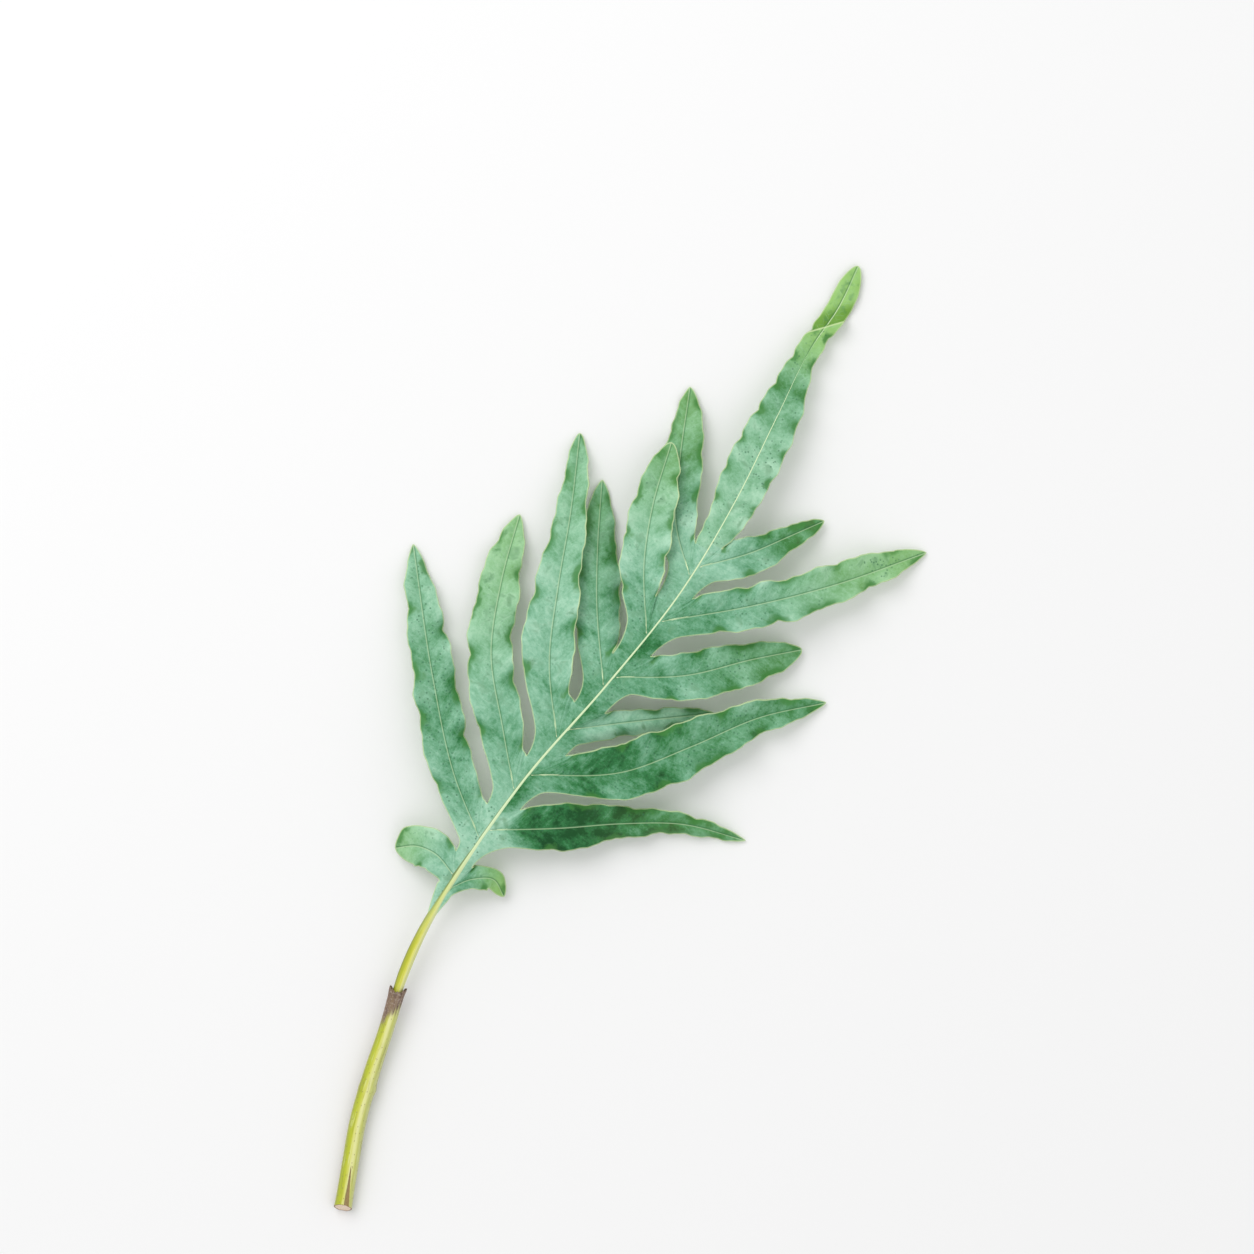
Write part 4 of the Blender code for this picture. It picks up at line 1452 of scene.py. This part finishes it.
    def patches(self) -> list[Patch]:
        """Every half lobe, both halves of the end lobe included.

        Returns:
            The patches of the whole sheet, none of them lower than rests_at.
        """
        stations = self.rachis_stations()
        foot = tuple(self.line.centre(self.wing_foot)[:2])
        made = []
        for hand, lobes, notches in (
                (Hand.LEFT, LEFT_LOBES, self.left_notches),
                (Hand.RIGHT, RIGHT_LOBES, self.right_notches)):
            bounds = [foot, *notches]
            for lobe, below, above in zip(lobes, bounds, bounds[1:]):
                made.append(self.half_lobe(lobe, Side.BASAL, hand, below, stations))
                made.append(self.half_lobe(lobe, Side.APICAL, hand, above, stations))
            made.append(self.end_half(hand, notches[-1], stations))
        for patch in made:
            np.maximum(patch.points[..., 2], self.rests_at, out=patch.points[..., 2])
        return made

    def build(self) -> bpy.types.Object:
        """Build the sheet, give it its thickness and dress it.

        Returns:
            The piece, with the underside and the rim as its second and third finish.
        """
        mesh = mesh_of("blade", self.patches())
        face_up(mesh)
        finishes = [self.finish.material(), self.finish.underside(), self.finish.rim()]
        piece = place("leaf_blade", mesh, finishes, "leaf", ("blade",))
        skin = piece.modifiers.new("Thickness", "SOLIDIFY")
        skin.thickness = self.sheet_mm * MM
        skin.offset = 0.0
        skin.material_offset = 1
        skin.material_offset_rim = 2
        return piece


def tube(centre: Array, right: Array, up: Array, radii: Array, turns: Array) -> Array:
    """Skin of a rod: centre + radius * (cos(turn) * right + sin(turn) * up).

    Args:
        centre: Rows of points along the rod, or rows by columns of them.
        right: Level direction at each of those.
        up: Direction square to it.
        radii: Rows by columns of radii.
        turns: Angle of each column from the right side, in radians.

    Returns:
        Rows by columns of points.
    """
    if centre.ndim == 2:
        centre, right, up = (a[:, None, :] for a in (centre, right, up))
    round_part = np.cos(turns)[None, :, None] * right + np.sin(turns)[None, :, None] * up
    return centre + radii[..., None] * round_part


@dataclass
class Stalk:
    """Stipe and rachis: one rod that tapers from the collar to the frond's tip.

    Its section is a circle with a low ridge near the top and a slight hollow on the left:
    radius * (1 + ridge * bell - dent * bell) of the turn.

    Attributes:
        line: Its centre line and thickness.
        end: The lobe whose step it takes near the tip.
        finish: Its skin.
        start: Station of its foot, in the collar's socket.
        stop: Station where it ends.
        columns: Faces round it.
        step: Length of a row.
        ridge: Height of the ridge, as a share of the radius.
        ridge_turn: Where the ridge stands, as an angle from the right side.
        dent: Depth of the hollow, as a share of the radius.
        dent_turn: Where the hollow lies.
        most_leafy: How far it takes the leaf's colour beside the blade.
        leafy_from: Station from which it does.
        leafy_to: Station at which it does fully.
    """

    line: StalkLine
    end: EndLobe
    finish: StalkFinish
    start: float = 81.5
    stop: float = 450.0
    columns: int = 40
    step: float = 1.4
    ridge: float = 0.09
    ridge_turn: float = 1.45
    dent: float = 0.04
    dent_turn: float = 2.3
    most_leafy: float = 0.92
    leafy_from: float = 110.0
    leafy_to: float = 175.0

    def build(self) -> bpy.types.Object:
        """Build the rod with closed ends and dress it.

        Returns:
            The piece.
        """
        along = doubled_ends(np.arange(self.start, self.stop, self.step))
        turns = np.linspace(-0.5 * math.pi, 1.5 * math.pi, self.columns + 1)
        radius = self.line.radius(along)[:, None]
        shape = 1.0 + self.ridge * bell(turns - self.ridge_turn, 0.3)
        shape = shape - self.dent * bell(turns - self.dent_turn, 0.5)
        radii = radius * shape[None, :]
        radii[[0, -1]] = 0.0
        _, right, up = self.line.sides(along)
        points = tube(self.line.centre(along), right, up, radii, turns)
        self.end.fold(points)
        turn = (turns - turns[0]) / TURN
        flat = np.zeros_like(radii)
        leafy = smoothstep((along - self.leafy_from) / (self.leafy_to - self.leafy_from))
        values = {
            "turn": turn[None, :] + flat,
            "station": along[:, None] + flat,
            "leafy": self.most_leafy * leafy[:, None] + flat,
        }
        mesh = mesh_of("stalk", [Patch(points, values)])
        return place("stalk_and_rachis", mesh, [self.finish.material()], "stalk", ("stalk",))


@dataclass
class UnderRibs:
    """The lobes' midribs where they stand out below the sheet, as slim rods that taper.

    Attributes:
        blade: The sheet whose lobes they carry.
        finish: Their skin.
        thick: Radius at the rachis.
        taper: Share of the radius that is gone at a lobe's tip.
        reach: Share of a lobe's length that its rod has.
        rows: Rows along each rod.
        columns: Faces round each rod.
    """

    blade: Blade
    finish: StalkFinish
    thick: float = 0.75
    taper: float = 0.85
    reach: float = 0.94
    rows: int = 64
    columns: int = 12

    def build(self) -> bpy.types.Object:
        """Build one rod under each lobe and dress them.

        Returns:
            The piece.
        """
        patches = []
        turns = np.linspace(0.5 * math.pi, 2.5 * math.pi, self.columns + 1)
        for lobe in LEFT_LOBES + RIGHT_LOBES:
            share = np.linspace(0.0, self.reach, self.rows)
            ahead = doubled_ends(unit(np.gradient(self.blade.midrib(lobe, share), axis=0)))
            share = doubled_ends(share)
            right = unit(np.cross(ahead, UP))
            up = np.cross(right, ahead)
            thick = self.thick * (1.0 - self.taper * share)
            # The rod hangs below the sheet, so that only its lower two thirds show.
            line = self.blade.midrib(lobe, share) - UP * (0.35 + 0.45 * thick)[:, None]
            line[:, 2] = np.maximum(line[:, 2], thick + 0.05)
            radii = np.repeat(thick[:, None], self.columns + 1, axis=1)
            radii[[0, -1]] = 0.0
            flat = np.zeros_like(radii)
            values = {
                "turn": 0.25 + flat,
                "station": 100.0 * share[:, None] + lobe.root + flat,
                "leafy": 0.85 + flat,
            }
            patches.append(Patch(tube(line, right, up, radii, turns), values))
        mesh = mesh_of("under_ribs", patches)
        return place("under_ribs", mesh, [self.finish.material()], "stalk")


@dataclass
class LowerStem:
    """The thick foot of the stalk, from its slanting cut to the ragged collar around the stipe.

    One skin goes from the middle of the cut face over its rim, up the outside to the collar's
    two ears, over their edge and down the inside of the socket.

    Attributes:
        line: Its centre line, and the thickness of the stalk in its socket.
        finish: Its skins.
        stations: Stations at which its radius is given.
        radii: Radius at each of them.
        flare: How much wider it is at the cut.
        scar_station: Station of the leaf scar's bump.
        scar: Height of the bump.
        cut_slant: How far the cut reaches further down below than above.
        cut_start: Station of the lowest point of the cut.
        mouth: Station that the collar's edge keeps to.
        ear: How far an ear stands up from it.
        ear_shares: Share of that for the left and the right ear.
        socket: Station of the bottom of the socket.
        collar_fade: On the right, station where the brown starts and length over which it grows.
        collar_reach: How much lower it starts on the left, and how much longer it grows there.
        columns: Faces round it.
        rows: Rows along it.
        split_length: Length of the split at the cut.
        split_turn: Where it opens, as an angle from the right side.
        split_angle: Half of its angle where it closes, and how much more there is at the cut.
        split_depth: How deep it goes.
    """

    line: StalkLine
    finish: StemFinish
    stations: tuple[float, ...] = (0, 20, 50, 72, 84, 93)
    radii: tuple[float, ...] = (3.65, 3.65, 3.6, 3.3, 3.3, 3.5)
    flare: float = 0.45
    scar_station: float = 49.0
    scar: float = 0.5
    cut_slant: float = 3.0
    cut_start: float = -2.6
    mouth: float = 92.8
    ear: float = 1.2
    ear_shares: tuple[float, float] = (1.0, 1.6)
    socket: float = 81.0
    collar_fade: tuple[float, float] = (82.0, 9.0)
    collar_reach: tuple[float, float] = (12.0, 4.0)
    columns: int = 96
    rows: int = 150
    split_length: float = 18.0
    split_turn: float = 1.15
    split_angle: tuple[float, float] = (0.04, 0.42)
    split_depth: float = 0.45

    def outer_radius(self, y: Array, turns: Array) -> Array:
        """Radius of the outside: flared at the cut, swollen at the scar, wider at the collar.

        Args:
            y: Rows by columns of stations.
            turns: Angle of each column.

        Returns:
            Radius at each point, with the split's shallow groove taken out.
        """
        radius = through(self.stations, self.radii, np.clip(y, 0.0, self.stations[-1] + 6.0))
        radius = radius + self.flare * np.exp(-(y - self.cut_start) / 3.0)
        scar_round = 0.35 + 0.65 * bell(turns - 0.1, 0.9)
        radius = radius + self.scar * bell(y - self.scar_station, 2.0) * scar_round
        radius = radius + 0.07 * np.sin(3.0 * turns + 0.04 * y) + 0.04 * np.sin(5.0 * turns - 0.09 * y)
        return radius - self.split_depth * self.split_mask(y, turns)

    def split_mask(self, y: Array, turns: Array) -> Array:
        """How far into the V-shaped split each point lies: it widens from nothing to the cut.

        Args:
            y: Rows by columns of stations.
            turns: Angle of each column.

        Returns:
            0 outside the split and 1 at its bottom, for each point.
        """
        open_share = np.clip(1.0 - y / self.split_length, 0.0, 1.0)
        half_angle = self.split_angle[0] + self.split_angle[1] * open_share**1.3
        centre = self.split_turn + 0.25 * (1.0 - open_share)
        inwards = 1.0 - np.abs(turns - centre) / half_angle
        return smoothstep(1.6 * inwards) * smoothstep(open_share / 0.2)

    def mouth_edge(self, turns: Array) -> Array:
        """Station of the collar's edge: an ear on each side and a notch above and below.

        Args:
            turns: Angle of each column.

        Returns:
            The station at each angle, with two fine sines that make it ragged.
        """
        ears = np.abs(np.cos(turns)) ** 1.7
        higher = np.where(np.cos(turns) < 0.0, *self.ear_shares)
        ragged = 0.28 * np.sin(9.0 * turns + 1.0) + 0.22 * np.sin(17.0 * turns)
        return self.mouth - 1.0 + self.ear * ears * higher + ragged

    def build(self) -> bpy.types.Object:
        """Build the skin and dress it, the cut face in its own finish.

        Returns:
            The piece.
        """
        turns = np.linspace(-0.5 * math.pi, 1.5 * math.pi, self.columns + 1)
        cut = self.cut_start + 0.5 * self.cut_slant * (1.0 + np.sin(turns)) + 0.06 * np.sin(7.0 * turns)
        # The cut face: rings from its middle outwards, a little domed.
        rings = np.array([0.0, 0.2, 0.4, 0.58, 0.74, 0.86, 0.94, 1.0])
        rim_radius = self.outer_radius(cut[None, :], turns)
        face_radii = rings[:, None] * (rim_radius - 0.12)
        middle = self.cut_start + 0.5 * self.cut_slant
        face_y = cut[None, :] * rings[:, None] + middle * (1.0 - rings[:, None])
        face_y = face_y + 0.25 * (1.0 - rings[:, None] ** 2)
        # The outside, with close rows at the cut's rim and a flare at the collar's edge.
        body_share = np.concatenate([[0.0, 0.0015, 0.004], np.linspace(0.008, 1.0, self.rows)])
        edge = self.mouth_edge(turns)[None, :]
        wall_y = cut[None, :] + 0.1 + (edge - cut[None, :] - 0.1) * body_share[:, None]
        wall_radii = self.outer_radius(wall_y, turns)
        flare = smoothstep((wall_y - (edge - 4.5)) / 4.5)
        wall_radii = wall_radii + (0.2 * np.abs(np.cos(turns)) + 0.05) * flare**1.5
        lip = wall_radii[-1:]
        # The inside of the socket, which narrows to fit round the stalk.
        inner_share = np.array([0.0, 0.04, 0.12, 0.3, 0.6, 1.0])[:, None]
        inner_y = edge + (self.socket - edge) * inner_share
        snug = self.line.radius(inner_y) + 0.25
        inner_radii = (lip - 0.4) + (snug - lip + 0.4) * smoothstep(inner_share / 0.6)
        inner_radii = np.maximum(inner_radii, snug)
        inner_radii[-1] = 0.0
        y = np.concatenate([wall_y, edge + 0.12, inner_y])
        radii = np.concatenate([wall_radii, lip - 0.2, inner_radii])
        outside = np.arange(len(y))[:, None] < len(wall_y)
        below_edge = edge - y
        left = 0.5 - 0.5 * np.cos(turns)[None, :]
        (start, fade), (lower, longer) = self.collar_fade, self.collar_reach
        collar = smoothstep((y - (start - lower * left)) / (fade + longer * left))
        turn = (turns - turns[0])[None, :] / TURN
        # Painted shade inside the socket, deeper from just below the collar's edge.
        inside = np.where(outside, 0.0, smoothstep((below_edge - 0.6) / 2.0))
        body = Patch(self.skin(y, radii, turns), {
            "turn": turn + 0.0 * y,
            "station": y,
            "collar": collar,
            "rim": np.where(outside, smoothstep(1.0 - below_edge / 0.9) * np.abs(np.cos(turns)), 0.4),
            "split": np.where(outside, self.split_mask(y, turns), 0.0),
            "inside": inside,
            "ring": np.ones_like(y),
        })
        zero = np.zeros_like(face_y)
        face = Patch(self.skin(face_y, face_radii, turns), {
            "turn": turn + zero, "station": face_y, "collar": zero, "rim": zero, "split": zero,
            "inside": zero, "ring": rings[:, None] + zero,
        }, finish=1)
        bevel = Patch(np.stack([face.points[-1], body.points[0]]), {
            "turn": turn + np.zeros((2, 1)), "station": np.stack([face_y[-1], y[0]]),
            "collar": zero[:2], "rim": zero[:2], "split": zero[:2] + 1.0, "inside": zero[:2],
            "ring": zero[:2] + 1.0,
        })
        mesh = mesh_of("lower_stem", [face, bevel, body])
        finishes = [self.finish.material(), self.finish.cut_face()]
        return place("stem_and_collar", mesh, finishes, "stem", ("lower_stem",))

    def skin(self, y: Array, radii: Array, turns: Array) -> Array:
        """Points of the skin for rows by columns of stations and radii."""
        _, right, up = self.line.sides(y)
        return tube(self.line.centre(y), right, up, radii, turns)


# ---------------------------------------------------------------- floor, light and camera


@dataclass
class Studio:
    """Pale table, soft light and a camera that looks straight down on the frond.

    Attributes:
        floor_colour: Colour of the table.
        floor_radius: Radius of the table in metres.
        room_light: Strength of the even light from all round.
        camera_turn: How far the camera is turned about its own axis.
        camera_over: Plan place of the camera in metres.
        field: Width of what it sees at subject_height, in metres.
        lens: Focal length in millimetres.
        sensor: Width of its sensor in millimetres.
        subject_height: Height at which the field is measured, in metres.
    """

    floor_colour: str = "#f6f6f6"
    floor_radius: float = 4.0
    room_light: float = 0.72
    camera_turn: float = math.radians(28.57)
    camera_over: tuple[float, float] = (0.0, 0.0468)
    field: float = 0.5355
    lens: float = 180.0
    sensor: float = 36.0
    subject_height: float = 0.012

    def build(self) -> None:
        """Make floor, world, lamps and camera."""
        self.floor()
        self.world()
        self.lamp("key_panel", (-1.1, 0.5, 1.5), 1.3, 14.0)
        self.lamp("fill_panel", (0.9, -0.5, 1.7), 1.6, 3.0)
        self.camera()

    def floor(self) -> None:
        """Lay a wide disc of matt pale card just under the frond."""
        material, tree, shader = start_material("matt_white_card")
        grain = add(tree, "TexNoise", None, {
            "Vector": add(tree, "TexCoord").outputs["Object"], "Scale": per_metre(0.6), "Detail": 2.0})
        bump = add(tree, "Bump", None, {"Strength": 0.05, "Distance": 0.02 * MM, "Height": grain})
        feed(tree, shader, {
            "Base Color": linear(self.floor_colour), "Roughness": 0.9, "Normal": bump,
            "Specular IOR Level": 0.1})
        mesh = bpy.data.meshes.new("table")
        turns = np.linspace(0.0, TURN, 97)[:-1]
        rim = np.column_stack([np.cos(turns), np.sin(turns), np.zeros(len(turns))]) * self.floor_radius
        mesh.from_pydata(rim.tolist(), [], [list(range(len(rim)))])
        mesh.materials.append(material)
        table = bpy.data.objects.new("table", mesh)
        bpy.context.scene.collection.objects.link(table)

    def world(self) -> None:
        """Fill the room with even white light."""
        world = bpy.data.worlds.new("white_room")
        world.use_nodes = True
        background = world.node_tree.nodes["Background"]
        background.inputs["Color"].default_value = (1.0, 1.0, 1.0, 1.0)
        background.inputs["Strength"].default_value = self.room_light
        bpy.context.scene.world = world
        bpy.context.scene.view_settings.view_transform = "Standard"

    def lamp(self, name: str, place_at: tuple[float, float, float], size: float, power: float) -> None:
        """Hang one square soft panel, turned to face the frond.

        Args:
            name: Name of the lamp.
            place_at: Where it hangs, in metres.
            size: Length of its sides in metres.
            power: Its power in watts.
        """
        data = bpy.data.lights.new(name, "AREA")
        data.shape = "SQUARE"
        data.size = size
        data.energy = power
        lamp = bpy.data.objects.new(name, data)
        lamp.location = place_at
        x, y, z = place_at
        flat = math.hypot(x, y)
        lamp.rotation_euler = (math.atan2(flat, z), 0.0, math.atan2(y, x) + 0.5 * math.pi)
        bpy.context.scene.collection.objects.link(lamp)

    def camera(self) -> None:
        """Hang the camera over the frond, turned so that the frond leans to the upper right."""
        data = bpy.data.cameras.new("camera")
        data.lens = self.lens
        data.sensor_width = self.sensor
        data.clip_start = 0.05
        data.clip_end = 20.0
        camera = bpy.data.objects.new("camera", data)
        height = self.field * self.lens / self.sensor + self.subject_height
        camera.location = (*self.camera_over, height)
        camera.rotation_euler = (0.0, 0.0, self.camera_turn)
        bpy.context.scene.collection.objects.link(camera)
        bpy.context.scene.camera = camera


def main() -> None:
    """Build the frond's pieces and the studio in order."""
    logging.basicConfig(level=logging.INFO, format="%(name)s: %(message)s")
    line = StalkLine()
    end = EndLobe()
    stalk_finish = StalkFinish()
    blade = Blade(line, end, LeafFinish())
    blade.build()
    UnderRibs(blade, stalk_finish).build()
    Stalk(line, end, stalk_finish).build()
    LowerStem(line, StemFinish()).build()
    Studio().build()
    bpy.context.view_layer.update()


if __name__ == "__main__":
    main()
